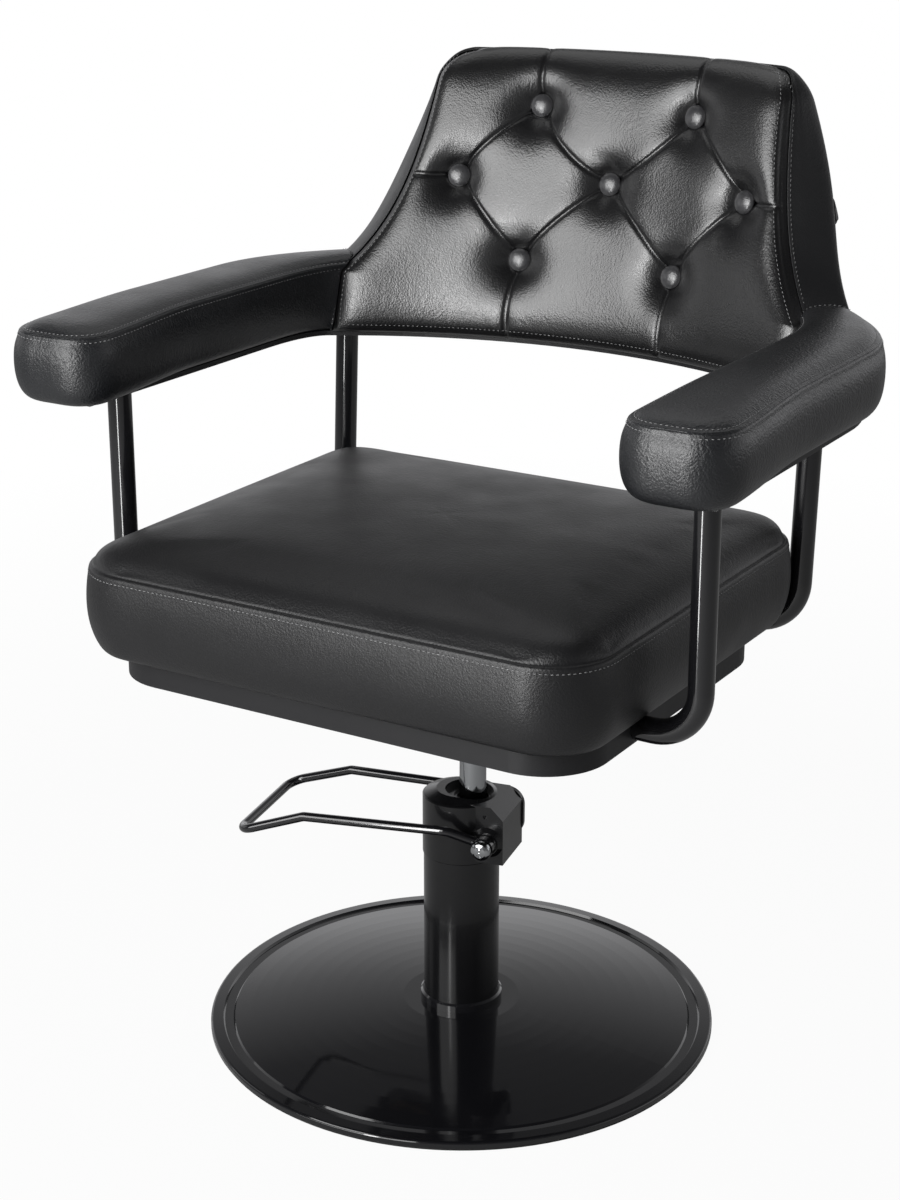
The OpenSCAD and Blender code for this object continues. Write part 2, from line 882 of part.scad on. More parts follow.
cap_d = 20;
cap_neck = 2.5;
cap_t = 3;
cap_dome = 4.5;
module lever_caps() {
    end_y = lever_hub_y + lever_hub_l;
    color("#c4c7ca")
    pump_frame()
        for (side = [-1, 1])
            scale([1, side, 1])
                translate([pivot_u, end_y, pivot_z])
                    rotate([-quarter, 0, 0])
                        rotate_extrude()
                            polygon(concat(
                                [[0, 0], [shaft_r, 0], [shaft_r, cap_neck], [cap_d / 2, cap_neck]],
                                [for (i = [0 : rim_steps])
                                    let (a = quarter * i / rim_steps)
                                    [cap_d / 2 * cos(a), cap_neck + cap_t + cap_dome * sin(a)]]));
}

module lever_cam() {
    color("#85888c")
    pump_frame()
        difference() {
            union() {
                translate([pivot_u, -cam_w / 2, pivot_z - cam_t / 2])
                    cube([cam_arm, cam_w, cam_t]);
                cross_bar(pivot_u + cam_arm, pivot_z, cam_r, -cam_w / 2, cam_w / 2);
            }
            cross_bar(pivot_u, pivot_z, shaft_r, -cam_w, cam_w);
        }
}

clip_z = piston_z - move_gap - clip_t;
module lift_rod() {
    color("#c9ccd0")
    seat_frame() {
        translate([0, 0, clip_z - clip_t / 2])
            cylinder(r = rod_spigot_r, h = piston_top_z + move_gap - clip_z + clip_t / 2);
        translate([0, 0, piston_top_z + move_gap])
            cylinder(r = rod_r, h = rod_top_z - piston_top_z - move_gap);
    }
}

module rod_clip() {
    color("#85888c")
    rod_ring(clip_z, clip_t, rod_spigot_r, clip_r);
}

module mount_hub() {
    color("#161617")
    seat_frame()
        rotate_extrude()
            polygon([
                [rod_r + run_gap, hub_z], [hub_d / 2 * hub_tip_share, hub_z],
                [hub_d / 2, mount_z - mount_t], [hub_d / 2, mount_z], [rod_r + run_gap, mount_z]]);
}

module plate_holes(z, h, r) {
    for (sx = [-1, 1], sy = [-1, 1])
        translate([sx * mount_pitch / 2, sy * mount_pitch / 2, z])
            cylinder(r = r, h = h, $fn = 32);
}

module mount_plate() {
    color("#161617")
    seat_frame()
        difference() {
            translate([0, 0, mount_z])
                linear_extrude(mount_t)
                    rounded_rect(mount_w, mount_w, mount_corner_r);
            translate([0, 0, mount_z - over])
                cylinder(r = rod_r + run_gap, h = mount_t + 2 * over);
            plate_holes(mount_z - over, mount_t + 2 * over, bolt_r + run_gap);
        }
}

bolt_head_t = 5;
bolt_bite = 11;
module mount_bolts() {
    color("#8d9094")
    seat_frame() {
        plate_holes(mount_z, board_z + bolt_bite - mount_z, bolt_r);
        for (sx = [-1, 1], sy = [-1, 1])
            translate([sx * mount_pitch / 2, sy * mount_pitch / 2, mount_z - bolt_head_t])
                cylinder(r = bolt_r * bolt_head_share, h = bolt_head_t, $fn = 6);
    }
}

// Wooden block between the pan's floor and the seat board
module seat_block() {
    block_bottom = pan_z + pan_t;
    color("#8a6a45")
    seat_frame()
        difference() {
            translate([0, 0, block_bottom])
                linear_extrude(frame_d)
                    rounded_rect(mount_w, mount_w, mount_corner_r);
            plate_holes(block_bottom - over, frame_d + 2 * over, bolt_r + run_gap);
        }
}

module seat_pan() {
    pan_y = pan_d / 2 - pan_front;
    color("#262729")
    seat_frame()
        difference() {
            translate([0, pan_y, pan_z])
                linear_extrude(pan_top_z - pan_z)
                    rounded_rect(pan_w, pan_d, pan_corner_r);
            translate([0, pan_y, pan_z + pan_t])
                linear_extrude(frame_d + over)
                    rounded_rect(pan_w - 2 * pan_t, pan_d - 2 * pan_t, pan_corner_r - pan_t);
            translate([0, 0, pan_z - over])
                cylinder(r = rod_r + run_gap, h = pan_t + 2 * over);
            plate_holes(pan_z - over, pan_t + 2 * over, bolt_r + run_gap);
            translate([-pan_w, -front_tube_y, frame_z])
                rotate([0, quarter, 0])
                    cylinder(r = frame_r, h = 2 * pan_w);
            translate([-pan_w, -front_tube_y - frame_r, frame_z])
                cube([2 * pan_w, frame_d, frame_d]);
        }
}

seat_mid_y = seat_d / 2 - seat_front;
module board_shape(grow) {
    translate([0, seat_mid_y])
        rounded_rect(seat_w - 2 * board_inset + 2 * grow, seat_d - 2 * board_inset + 2 * grow,
            seat_corner_r - board_inset + grow);
}

module seat_board() {
    color("#8a6a45")
    seat_frame()
        difference() {
            translate([0, 0, board_z])
                linear_extrude(board_t)
                    board_shape(0);
            plate_holes(board_z - over, bolt_bite + over, bolt_r + run_gap);
            lug_holes(board_z - over, lug_screw_l - lug_t + over);
        }
}

// Rings of the cushion: how far each lies outside the seam line, and its height
side_h = seat_seam_z - cushion_z;
swell_share = [-1.4, -0.7, 0.1, 0.7, 1, 0.85, 0.35, 0];
swell_z_share = [0, 0.04, 0.13, 0.28, 0.5, 0.72, 0.9, 1];
crown_in_share = [0.01, 0.03, 0.07, 0.14, 0.26, 0.42, 0.62, 0.85];
crown_z_share = [0.1, 0.29, 0.5, 0.67, 0.8, 0.9, 0.97, 1];
function cushion_ring(grow, z) =
    let (r = max(seat_corner_r + grow, seat_corner_r / 4),
        ring = rounded_ring(seat_w / 2 + grow, seat_d / 2 + grow, r, z))
    [for (p = filled_ring(ring)) p + [0, seat_mid_y, 0]];

module seat_cushion() {
    half_d = seat_d / 2;
    sides = [for (i = [0 : len(swell_share) - 1])
        cushion_ring(swell_share[i] * seat_swell,
            mix(cushion_z + soft_gap, seat_seam_z, swell_z_share[i]))];
    crown = [for (i = [0 : len(crown_in_share) - 1])
        cushion_ring(-crown_in_share[i] * half_d, seat_seam_z + crown_z_share[i] * seat_crown)];
    color("#151516")
    seat_frame()
        difference() {
            ring_stack(concat(sides, crown));
            translate([0, 0, cushion_z - over])
                linear_extrude(board_t + soft_gap + over)
                    board_shape(soft_gap);
        }
}

// Tube frame: front uprights stand plumb, the rear ones lean back in their own plane
function front_pt(x, s) = [x, -front_tube_y, frame_z + s];

module hollow_run(points) {
    first = points[0];
    last = points[len(points) - 1];
    head_dir = unit(first - points[1]) * over;
    tail_dir = unit(last - points[len(points) - 2]) * over;
    middle = [for (i = [1 : 1 : len(points) - 2]) points[i]];
    difference() {
        bar_run(points, frame_bend_r, frame_r);
        bar_run(concat([first + head_dir], middle, [last + tail_dir]), frame_bend_r,
            frame_r - frame_wall);
    }
}

module front_cross_tube() {
    x = front_gap_w / 2;
    color("#111112")
    seat_frame()
        hollow_run([front_pt(-x, joint_s), front_pt(-x, 0), front_pt(x, 0), front_pt(x, joint_s)]);
}

// Frame of the leaning rear tubes: its origin is on the cross tube's axis
module lean_frame() {
    translate([0, rear_tube_y, frame_z])
        rotate([-rear_lean, 0, 0])
            children();
}
function lean_pt(x, s) = [x, 0, s];

module rear_cross_tube() {
    x = rear_gap_w / 2;
    color("#111112")
    seat_frame()
        lean_frame()
            hollow_run([lean_pt(-x, joint_s), lean_pt(-x, 0), lean_pt(x, 0), lean_pt(x, joint_s)]);
}

module lug_holes(z, h) {
    for (side = [-1, 1])
        translate([side * lug_x, rear_tube_y - lug_l + lug_screw_set, z])
            cylinder(r = lug_screw_r + run_gap, h = h, $fn = 32);
}

module rear_lugs() {
    lug_z = pan_top_z - lug_t;
    color("#1b1b1c")
    seat_frame()
        difference() {
            for (side = [-1, 1])
                translate([side * lug_x - lug_w / 2, rear_tube_y - lug_l, lug_z])
                    cube([lug_w, lug_l - lug_tail, lug_t]);
            translate([-lug_x - lug_w, rear_tube_y, frame_z])
                rotate([0, quarter, 0])
                    cylinder(r = frame_r, h = 2 * (lug_x + lug_w));
            lug_holes(lug_z - over, lug_t + 2 * over);
        }
}

module lug_screws() {
    lug_z = pan_top_z - lug_t;
    color("#8d9094")
    seat_frame()
        for (side = [-1, 1])
            translate([side * lug_x, rear_tube_y - lug_l + lug_screw_set, lug_z]) {
                cylinder(r = lug_screw_r, h = lug_screw_l - over, $fn = 32);
                translate([0, 0, -screw_head_t])
                    cylinder(r = lug_screw_r * bolt_head_share, h = screw_head_t, $fn = 32);
            }
}

spigot_low = stub_l - over;
module spigot(a, b) {
    dir = unit(b - a);
    bar_piece(a - dir * spigot_low, a + dir * (spigot_l - spigot_low), frame_r - frame_wall - run_gap);
}

module tube_spigots() {
    xf = front_gap_w / 2;
    xr = rear_gap_w / 2;
    color("#55575a")
    seat_frame()
        for (side = [-1, 1]) {
            spigot(front_pt(side * xf, joint_s), front_pt(side * xf, 2 * joint_s));
            lean_frame()
                spigot(lean_pt(side * xr, joint_s), lean_pt(side * xr, 2 * joint_s));
        }
}

module front_upright(side) {
    x = side * front_gap_w / 2;
    color("#111112")
    seat_frame()
        hollow_run([front_pt(x, joint_s), front_pt(x, rail_z - frame_z)]);
}

module rear_upright(side) {
    x = side * rear_gap_w / 2;
    top_s = (rail_z - frame_z) / cos(rear_lean);
    color("#111112")
    seat_frame()
        difference() {
            lean_frame()
                hollow_run([lean_pt(x, joint_s), lean_pt(x, top_s + frame_r)]);
            translate([x - frame_d, rear_tube_y - frame_d, rail_z])
                cube([2 * frame_d, 2 * frame_d + (rail_z - frame_z) * sin(rear_lean), 2 * frame_d]);
        }
}

module left_front_upright() { front_upright(-1); }
module right_front_upright() { front_upright(1); }
module left_rear_upright() { rear_upright(-1); }
module right_rear_upright() { rear_upright(1); }

// Curve of the back, seen from above, at height z and depth d behind its front seam
function back_centre_y(z) = back_y + (z - tuft_z) * back_slope - back_r;
function back_pt(x, z, d) = [x, back_centre_y(z) + sqrt(pow(back_r + d, 2) - x * x), z];
function back_half(z) = min(back_half_w + back_flare,
    back_half_w + back_flare * exp((back_rim_z - z) / back_flare_l));
function corner_cut(z) =
    let (h = clampv(z - back_top_z + back_corner_r, 0, back_corner_r))
    back_corner_r - sqrt(pow(back_corner_r, 2) - h * h);

// Share of the taper at height z: the back gets thinner, and widens less behind, towards its top
function taper_share(z) = pow(clampv((z - back_top_z + back_taper_l) / back_taper_l, 0, 1), 2);
function back_edge(z, d) = back_half(z) - corner_cut(z)
    + (back_widen - back_widen_drop * taper_share(z)) * d / back_t;
function back_depth(z) = back_t - back_taper * taper_share(z);

// Point of an arm: share s of its width, place y or t along it, height z
function arm_side(s) = mix(arm_in_x, arm_out_x, s);
function flare_at(y) = arm_flare * clampv((-y - arm_flare_y) / (arm_front - arm_round_l - arm_flare_y), 0, 1);
function arm_straight(s, y, z) = [arm_side(s) + (2 * s - 1) * flare_at(y), y, z];
function arm_end(s, z) = back_pt(back_edge(z, s * back_t), z, s * back_t) + [arm_join_gap, 0, 0];
function arm_curved(s, t, z) =
    let (e = arm_end(s, z),
        a = [arm_side(s), arm_bend_y, z],
        b = [arm_side(s), mix(arm_turn_in_y, arm_turn_out_y, s), z])
    a * pow(1 - t, 2) + 2 * t * (1 - t) * b + e * pow(t, 2);

// Section of an arm as shares of its width and height; above 1 it is a share of the crown.
// One row lies where the back's side starts to narrow, so the arm's end follows that edge.
arm_low_z = arm_z + soft_gap;
arm_seam_z = arm_z + arm_h;
rim_share = (back_rim_z - arm_low_z) / (arm_seam_z - arm_low_z);
section_x_share = [0.2, 0.09, 0, -0.06, -0.08, -0.08, -0.055, -0.02, 0, 0.05, 0.16, 0.33, 0.5, 0.67, 0.84,
    0.95, 1, 1.02, 1.055, 1.08, 1.08, 1.06, 1, 0.91, 0.8, 0.6, 0.4];
section_z_share = [0, 0.03, 0.11, 0.22, 0.37, 0.6, 0.8, rim_share, 1, 1.4, 1.78, 1.96, 2, 1.96, 1.78,
    1.4, 1, rim_share, 0.8, 0.6, 0.37, 0.22, 0.11, 0.03, 0, 0, 0];
arm_mid_z = arm_z + arm_h / 2;
function section_z(i) = section_z_share[i] > 1
    ? arm_seam_z + arm_crown * (section_z_share[i] - 1)
    : mix(arm_low_z, arm_seam_z, section_z_share[i]);

end_y_share = [0, 0.05, 0.2, 0.5, 1];
straight_y = [-arm_front / 2, -arm_flare_y, 0];
curve_steps = 10;
function inset_at(d, r) = d < r ? r - sqrt(r * r - pow(r - d, 2)) : 0;
function front_ring(k) =
    let (d = arm_round_l * end_y_share[k],
        across = 1 - inset_at(d, arm_round_l) / arm_half,
        up = 1 - 2 * inset_at(d, arm_edge_r) / arm_h)
    [for (i = [0 : len(section_x_share) - 1])
        arm_straight(1 / 2 + (section_x_share[i] - 1 / 2) * across, d - arm_front,
            arm_mid_z + (section_z(i) - arm_mid_z) * up)];
function straight_ring(y) = [
    for (i = [0 : len(section_x_share) - 1]) arm_straight(section_x_share[i], y, section_z(i))];
function curved_ring(t) = [
    for (i = [0 : len(section_x_share) - 1]) arm_curved(clampv(section_x_share[i], 0, 1) * t
        + section_x_share[i] * (1 - t), t, section_z(i))];
arm_rings = concat(
    [for (k = [0 : len(end_y_share) - 1]) front_ring(k)],
    [for (y = straight_y) straight_ring(y)],
    [for (k = [0 : curve_steps]) curved_ring(k / curve_steps)]);
function mirrored_ring(ring) = backwards([for (p = ring) [-p[0], p[1], p[2]]]);

// Faces of an arm's rear end: rungs join the points of its section at each height
function rung_faces(n, low, top) = concat(
    [[1, 0, n - 1], [1, n - 1, n - 2], [1, n - 2, low - 1], [n - 2, low, low - 1]],
    [for (k = [1 : top - 2]) [k + 1, k, low - k]],
    [for (k = [1 : top - 2]) [low - k, low - k - 1, k + 1]],
    [[top, top - 1, top + 1]]);
function turned_faces(faces, n) = [for (f = faces) [n - 1 - f[2], n - 1 - f[1], n - 1 - f[0]]];

module arm_solid(side) {
    n = len(section_x_share);
    low = n - 3;
    rings = side > 0 ? arm_rings : [for (ring = arm_rings) mirrored_ring(ring)];
    rungs = rung_faces(n, low, low / 2);
    last = (len(rings) - 1) * n;
    points = concat([for (ring = rings, p = ring) p], [mean(rings[0])]);
    polyhedron(points = points,
        faces = concat(wall_faces(len(rings), n),
            [for (f = side > 0 ? rungs : turned_faces(rungs, n)) [for (i = f) last + i]]),
        convexity = 6);
}

module core_block(side, grow) {
    translate([side * arm_x - core_w / 2 - grow, -core_front - grow, arm_z - grow])
        cube([core_w + 2 * grow, core_front + core_rear + 2 * grow, core_t + 2 * grow]);
}

module arm_core(side) {
    color("#8a6a45")
    seat_frame()
        difference() {
            core_block(side, 0);
            core_screw_places(side)
                cylinder(r = rail_screw_r + run_gap, h = rail_screw_l + over, $fn = 32);
        }
}

module left_arm_core() { arm_core(-1); }
module right_arm_core() { arm_core(1); }

module arm_pad(side) {
    color("#151516")
    seat_frame()
        difference() {
            arm_solid(side);
            core_block(side, soft_gap);
        }
}

module left_arm_pad() { arm_pad(-1); }
module right_arm_pad() { arm_pad(1); }

// Places of the screws that hold the arm cores and the back board on the rail
core_screw_in = 20;
core_screw_short = 90;
core_screw_y = [core_screw_in - core_front, core_rear - core_screw_short];
board_screw_x = [-150, 150];
module core_screw_places(side) {
    for (y = core_screw_y)
        translate([side * arm_x, y, rail_z])
            children();
}

module board_screw_places() {
    for (x = board_screw_x)
        translate(back_pt(x, arm_z, pad_back + board_gap + ply_t / 2) - [0, 0, rail_t])
            children();
}

function rail_edge(s) = concat(
    [arm_straight(s, -core_front, arm_z)],
    [for (k = [0 : rail_steps]) arm_curved(s, k / rail_steps, arm_z)],
    [for (k = [1 : 2 * rail_steps - 1])
        back_pt(back_edge(arm_z, s * back_t) * (1 - k / rail_steps), arm_z, s * back_t)],
    [for (k = [rail_steps : -1 : 0])
        let (p = arm_curved(s, k / rail_steps, arm_z))
        [-p[0], p[1], p[2]]],
    [[-arm_side(s), -core_front, arm_z]]);

module arm_rail() {
    outline = concat(rail_edge(rail_out_share), backwards(rail_edge(rail_in_share)));
    color("#1b1b1c")
    seat_frame()
        difference() {
            translate([0, 0, rail_z])
                linear_extrude(rail_t)
                    polygon([for (p = outline) [p[0], p[1]]]);
            for (side = [-1, 1])
                core_screw_places(side)
                    translate([0, 0, -over])
                        cylinder(r = rail_screw_r + run_gap, h = rail_t + 2 * over, $fn = 32);
            board_screw_places()
                translate([0, 0, -over])
                    cylinder(r = rail_screw_r + run_gap, h = rail_t + 2 * over, $fn = 32);
        }
}

module rail_screw() {
    cylinder(r = rail_screw_r, h = rail_screw_l, $fn = 32);
    translate([0, 0, -screw_head_t])
        cylinder(r = rail_screw_r * bolt_head_share, h = screw_head_t, $fn = 32);
}

module rail_screws() {
    color("#8d9094")
    seat_frame() {
        for (side = [-1, 1])
            core_screw_places(side)
                rail_screw();
        board_screw_places()
            rail_screw();
    }
}

// Buttons and the creases between them, as [x, z]
top_z = tuft_z + tuft_up;
low_z = tuft_z - tuft_down;
buttons = [[-tuft_x, top_z], [tuft_x, top_z], [-tuft_wide_x, tuft_z], [0, tuft_z],
    [tuft_wide_x, tuft_z], [-tuft_x, low_z], [tuft_x, low_z]];
crease_pairs = [[0, 2], [0, 3], [1, 3], [1, 4], [2, 5], [3, 5], [3, 6], [4, 6]];
creases = concat(
    [for (c = crease_pairs) [buttons[c[0]], buttons[c[1]]]],
    [for (i = [0, 1]) [buttons[i], [buttons[i][0], back_top_z]]],
    [for (i = [5, 6]) [buttons[i], [buttons[i][0], back_bottom_z]]],
    [for (i = [2, 4]) [buttons[i], [sign(buttons[i][0]) * back_half(tuft_z), tuft_z]]]);
dimple_depth = 24;
dimple_l = 26;
crease_depth = 5;
crease_l = 12;
rim_fade_l = 14;
function off_line(p, a, b) =
    let (t = clampv((p - a) * (b - a) / ((b - a) * (b - a)), 0, 1))
    norm(p - mix(a, b, t));
function rise(d) = 1 - exp(-max(d, 0) / rim_fade_l);
function tuft_fade(x, z) = rise(back_half(z) - corner_cut(z) - abs(x)) * rise(back_top_z - z)
    * rise(z - back_bottom_z);
function tuft_depth(x, z) = tuft_fade(x, z) * (-tuft_crown
    + dimple_depth * sum([for (b = buttons) exp(-pow(norm([x, z] - b) / dimple_l, 2))])
    + crease_depth * max([for (c = creases) exp(-pow(off_line([x, z], c[0], c[1]) / crease_l, 2))]));

// Slab that follows the back's curve: x shares, heights, and depths of front and rear
function at(i, j, n) = j * n + i;
function slab_faces(n, m) =
    let (r = n * m)
    concat(
        [for (j = [0 : m - 2], i = [0 : n - 2]) [at(i, j, n), at(i, j + 1, n), at(i + 1, j + 1, n)]],
        [for (j = [0 : m - 2], i = [0 : n - 2]) [at(i, j, n), at(i + 1, j + 1, n), at(i + 1, j, n)]],
        [for (j = [0 : m - 2], i = [0 : n - 2])
            [r + at(i, j, n), r + at(i + 1, j + 1, n), r + at(i, j + 1, n)]],
        [for (j = [0 : m - 2], i = [0 : n - 2])
            [r + at(i, j, n), r + at(i + 1, j, n), r + at(i + 1, j + 1, n)]],
        [for (j = [0 : m - 2]) [r + at(0, j, n), r + at(0, j + 1, n), at(0, j + 1, n)]],
        [for (j = [0 : m - 2]) [r + at(0, j, n), at(0, j + 1, n), at(0, j, n)]],
        [for (j = [0 : m - 2]) [r + at(n - 1, j, n), at(n - 1, j + 1, n), r + at(n - 1, j + 1, n)]],
        [for (j = [0 : m - 2]) [r + at(n - 1, j, n), at(n - 1, j, n), at(n - 1, j + 1, n)]],
        [for (i = [0 : n - 2]) [i, i + 1, r + i + 1]],
        [for (i = [0 : n - 2]) [i, r + i + 1, r + i]],
        [for (i = [0 : n - 2]) [at(i + 1, m - 1, n), at(i, m - 1, n), r + at(i, m - 1, n)]],
        [for (i = [0 : n - 2]) [at(i + 1, m - 1, n), r + at(i, m - 1, n), r + at(i + 1, m - 1, n)]]);
function slab_points(xs, zs, depths) = [
    for (j = [0 : len(zs) - 1], i = [0 : len(xs) - 1])
        back_pt(xs[i] * back_edge(zs[j], depths[j][i]), zs[j], depths[j][i])];

module back_slab(xs, zs, front, rear) {
    polyhedron(points = concat(slab_points(xs, zs, front), slab_points(xs, zs, rear)),
        faces = slab_faces(len(xs), len(zs)), convexity = 8);
}

// Grid lines lie closer together near both ends of a run from -1 to 1
grid_steps = 21;
grid_line = [for (i = [0 : grid_steps])
    let (t = 2 * i / grid_steps - 1)
    mix(t, sin(quarter * t), 1 / 2)];
pad_zs = [for (t = grid_line) mix(back_bottom_z, back_top_z, (1 + t) / 2)];

module back_pad() {
    front = [for (z = pad_zs) [for (x = grid_line) tuft_depth(x * back_edge(z, 0), z)]];
    rear = [for (z = pad_zs) [for (x = grid_line) pad_back]];
    color("#151516")
    seat_frame()
        difference() {
            back_slab(grid_line, pad_zs, front, rear);
            button_places() {
                stem_hole();
                cylinder(r = button_d / 2 + 2 * soft_gap, h = dimple_depth, $fn = 24);
            }
        }
}

board_gap = 0.8;
board_front = pad_back + board_gap;
board_rear = board_front + ply_t;
board_steps = 14;
board_x_share = [for (i = [0 : board_steps]) ply_share * (2 * i / board_steps - 1)];
board_drop = 35;
board_top_z = back_top_z - board_drop;
board_zs = [for (i = [0 : board_steps]) mix(arm_z, board_top_z, i / board_steps)];

module back_board() {
    color("#8a6a45")
    seat_frame()
        difference() {
            back_slab(board_x_share, board_zs,
                [for (z = board_zs) [for (x = board_x_share) board_front]],
                [for (z = board_zs) [for (x = board_x_share) board_rear]]);
            board_screw_places()
                cylinder(r = rail_screw_r + soft_gap, h = rail_screw_l + over, $fn = 12);
            button_places()
                stem_hole();
        }
}

cover_x_share = [-1, -0.955, -0.945, -0.8, -0.64, -0.48, -0.32, -0.16, 0,
    0.16, 0.32, 0.48, 0.64, 0.8, 0.945, 0.955, 1];
cover_in_share = 0.95;
cover_lip = 30;
cover_least = 3;
cover_fine = 80;
cover_top_drops = [0, 2, 6, 14, 22, cover_lip, 32, 40, 55, cover_fine];
cover_mid_share = [0.2, 0.41, 0.63, 0.79, 0.89, 1];
cover_low_share = [0.35, 0.67, 1];
cover_drops = concat(cover_top_drops,
    [for (s = cover_mid_share) mix(cover_fine, back_top_z - back_rim_z, s)],
    [for (s = cover_low_share) back_top_z - mix(back_rim_z, back_bottom_z, s)]);
cover_zs = [for (d = backwards(cover_drops)) back_top_z - d];
cover_edge = 8;
cover_edge_l = 14;
function edge_round(d) = cover_edge * pow(clampv(1 - d / cover_edge_l, 0, 1), 2);

module back_cover() {
    front = [for (z = cover_zs) [for (x = cover_x_share)
        abs(x) > cover_in_share || back_top_z - z <= cover_lip
            ? board_front : board_rear + board_gap]];
    rear = [for (z = cover_zs) [for (x = cover_x_share)
        max(back_depth(z) - edge_round((1 - abs(x)) * back_half(z)) - edge_round(back_top_z - z),
            board_front + cover_least)]];
    color("#151516")
    seat_frame()
        back_slab(cover_x_share, cover_zs, front, rear);
}

// Buttons: a domed cap on a stem that ends at the back board
stem_r = 2.5;
button_set = 7;
button_t = 3;
button_dome = 4;
stem_l = 20;
stem_hole_l = 22;
function back_normal(x) = unit([x / sqrt(pow(back_r, 2) - x * x), 1, -back_slope]);
module button_places() {
    for (b = buttons) {
        y_dir = back_normal(b[0]);
        z_dir = -y_dir;
        x_dir = unit(cross([0, 0, 1], z_dir));
        frame_of(back_pt(b[0], b[1], button_set), x_dir, cross(z_dir, x_dir))
            children();
    }
}

module stem_hole() {
    translate([0, 0, -stem_hole_l])
        cylinder(r = stem_r + soft_gap, h = 2 * stem_hole_l, $fn = 12);
}

module back_buttons() {
    color("#121213")
    seat_frame()
        button_places() {
            translate([0, 0, -stem_l])
                cylinder(r = stem_r, h = stem_l + over, $fn = 24);
            translate([0, 0, soft_gap])
                rotate_extrude($fn = 40)
                    polygon(concat(
                        [[0, 0]],
                        [for (i = [0 : rim_steps])
                            let (a = quarter * i / rim_steps)
                            [button_d / 2 * cos(a), button_t + button_dome * sin(a)]],
                        []));
        }
}
grip_drop = 109;
grip_h = 33;
grip_top_z = back_top_z - grip_drop;
grip_low_z = grip_top_z - grip_h;
grip_under = 2;
grip_out = 12;
grip_share = 0.94;
grip_x_share = [for (x = cover_x_share) x * grip_share];
grip_zs = [grip_low_z - grip_under, grip_low_z, (grip_low_z + grip_top_z) / 2, grip_top_z];
grip_depths = [grip_out / 2, grip_out, grip_out / 2, grip_under];
module rear_grip() {
    depths = [for (z = grip_zs) back_depth(z) + soft_gap];
    color("#151516")
    seat_frame()
        back_slab(grip_x_share, grip_zs,
            [for (d = depths) [for (x = grip_x_share) d]],
            [for (j = [0 : len(grip_zs) - 1]) [for (x = grip_x_share) depths[j] + grip_depths[j]]]);
}

base_plate();
base_ring();
centre_foot();
ballast_disc();
foot_flange();
flange_bolts();
foot_collar();
pump_tube();
tube_cap();
pump_head();
inner_cylinder();
guide_bush();
wiper_seal();
gland_ring();
shaft_bushes();
plunger_plug();
plunger_spring();
block_screw();
piston_head();
piston_seal();
plunger();
lever_bar();
lever_hubs();
lever_shaft();
lever_caps();
lever_cam();
lift_rod();
rod_clip();
mount_hub();
mount_plate();
mount_bolts();
seat_pan();
seat_block();
seat_board();
seat_cushion();
front_cross_tube();
rear_cross_tube();
rear_lugs();
lug_screws();
tube_spigots();
left_front_upright();
right_front_upright();
left_rear_upright();
right_rear_upright();
arm_rail();
rail_screws();
left_arm_core();
right_arm_core();
left_arm_pad();
right_arm_pad();
back_board();
back_pad();
back_cover();
back_buttons();
rear_grip();
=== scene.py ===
# %% [markdown]
# # A salon chair, dressed for the studio
# The solids of the chair come from the shared frame. This lesson adds what solids
# can't show: leather that swells between its seams, tufts, stitches and lacquer.
# Every length below is written in millimetres and turned into metres once.

# %% Load the frame
import bpy, bmesh, json, math
import numpy as np
from mathutils import Matrix, Vector


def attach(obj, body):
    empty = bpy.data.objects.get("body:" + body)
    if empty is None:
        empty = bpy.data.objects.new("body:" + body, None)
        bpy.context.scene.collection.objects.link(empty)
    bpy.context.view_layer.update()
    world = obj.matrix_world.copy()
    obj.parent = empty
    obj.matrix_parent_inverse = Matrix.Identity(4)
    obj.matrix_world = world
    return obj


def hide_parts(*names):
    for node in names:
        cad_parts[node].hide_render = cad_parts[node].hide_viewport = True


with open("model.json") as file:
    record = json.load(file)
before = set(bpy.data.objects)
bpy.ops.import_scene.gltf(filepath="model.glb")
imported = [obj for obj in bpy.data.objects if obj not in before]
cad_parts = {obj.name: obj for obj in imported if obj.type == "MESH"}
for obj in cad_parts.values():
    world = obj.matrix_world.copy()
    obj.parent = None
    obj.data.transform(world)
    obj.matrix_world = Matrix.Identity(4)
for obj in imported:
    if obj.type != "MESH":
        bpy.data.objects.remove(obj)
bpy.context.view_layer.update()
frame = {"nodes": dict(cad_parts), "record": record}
MM = 0.001

# %% [markdown]
# ## Camera
# A photograph fixes where its camera stood. The place and turn below were worked out
# from the round base, the tubes and the seat. The longest side of the picture spans
# the 36 mm of the sensor.

# %% Place the camera
CAMERA_TURN, CAMERA_PITCH = math.radians(31.352), math.radians(19.250)
CAMERA_SPOT, LENS_LENGTH, SENSOR_SIZE = (1096.2, -1821.9, 1200.1), 69.0, 36.0
across = Vector((math.cos(CAMERA_TURN), math.sin(CAMERA_TURN), 0))
towards = Vector((math.sin(CAMERA_TURN) * math.cos(CAMERA_PITCH),
                  -math.cos(CAMERA_TURN) * math.cos(CAMERA_PITCH), math.sin(CAMERA_PITCH)))
upwards = towards.cross(across)
lens = bpy.data.cameras.new("portrait_lens")
lens.lens, lens.sensor_width, lens.sensor_fit = LENS_LENGTH, SENSOR_SIZE, "AUTO"
lens.clip_start, lens.clip_end = 0.05, 60
camera = bpy.data.objects.new("portrait_camera", lens)
turn = Matrix((across, upwards, towards)).transposed().to_4x4()
camera.matrix_world = Matrix.Translation(Vector(CAMERA_SPOT) * MM) @ turn
bpy.context.scene.collection.objects.link(camera)
bpy.context.scene.camera = camera
bpy.context.scene.view_settings.view_transform = "Standard"
print("camera at", [round(v, 3) for v in camera.location])

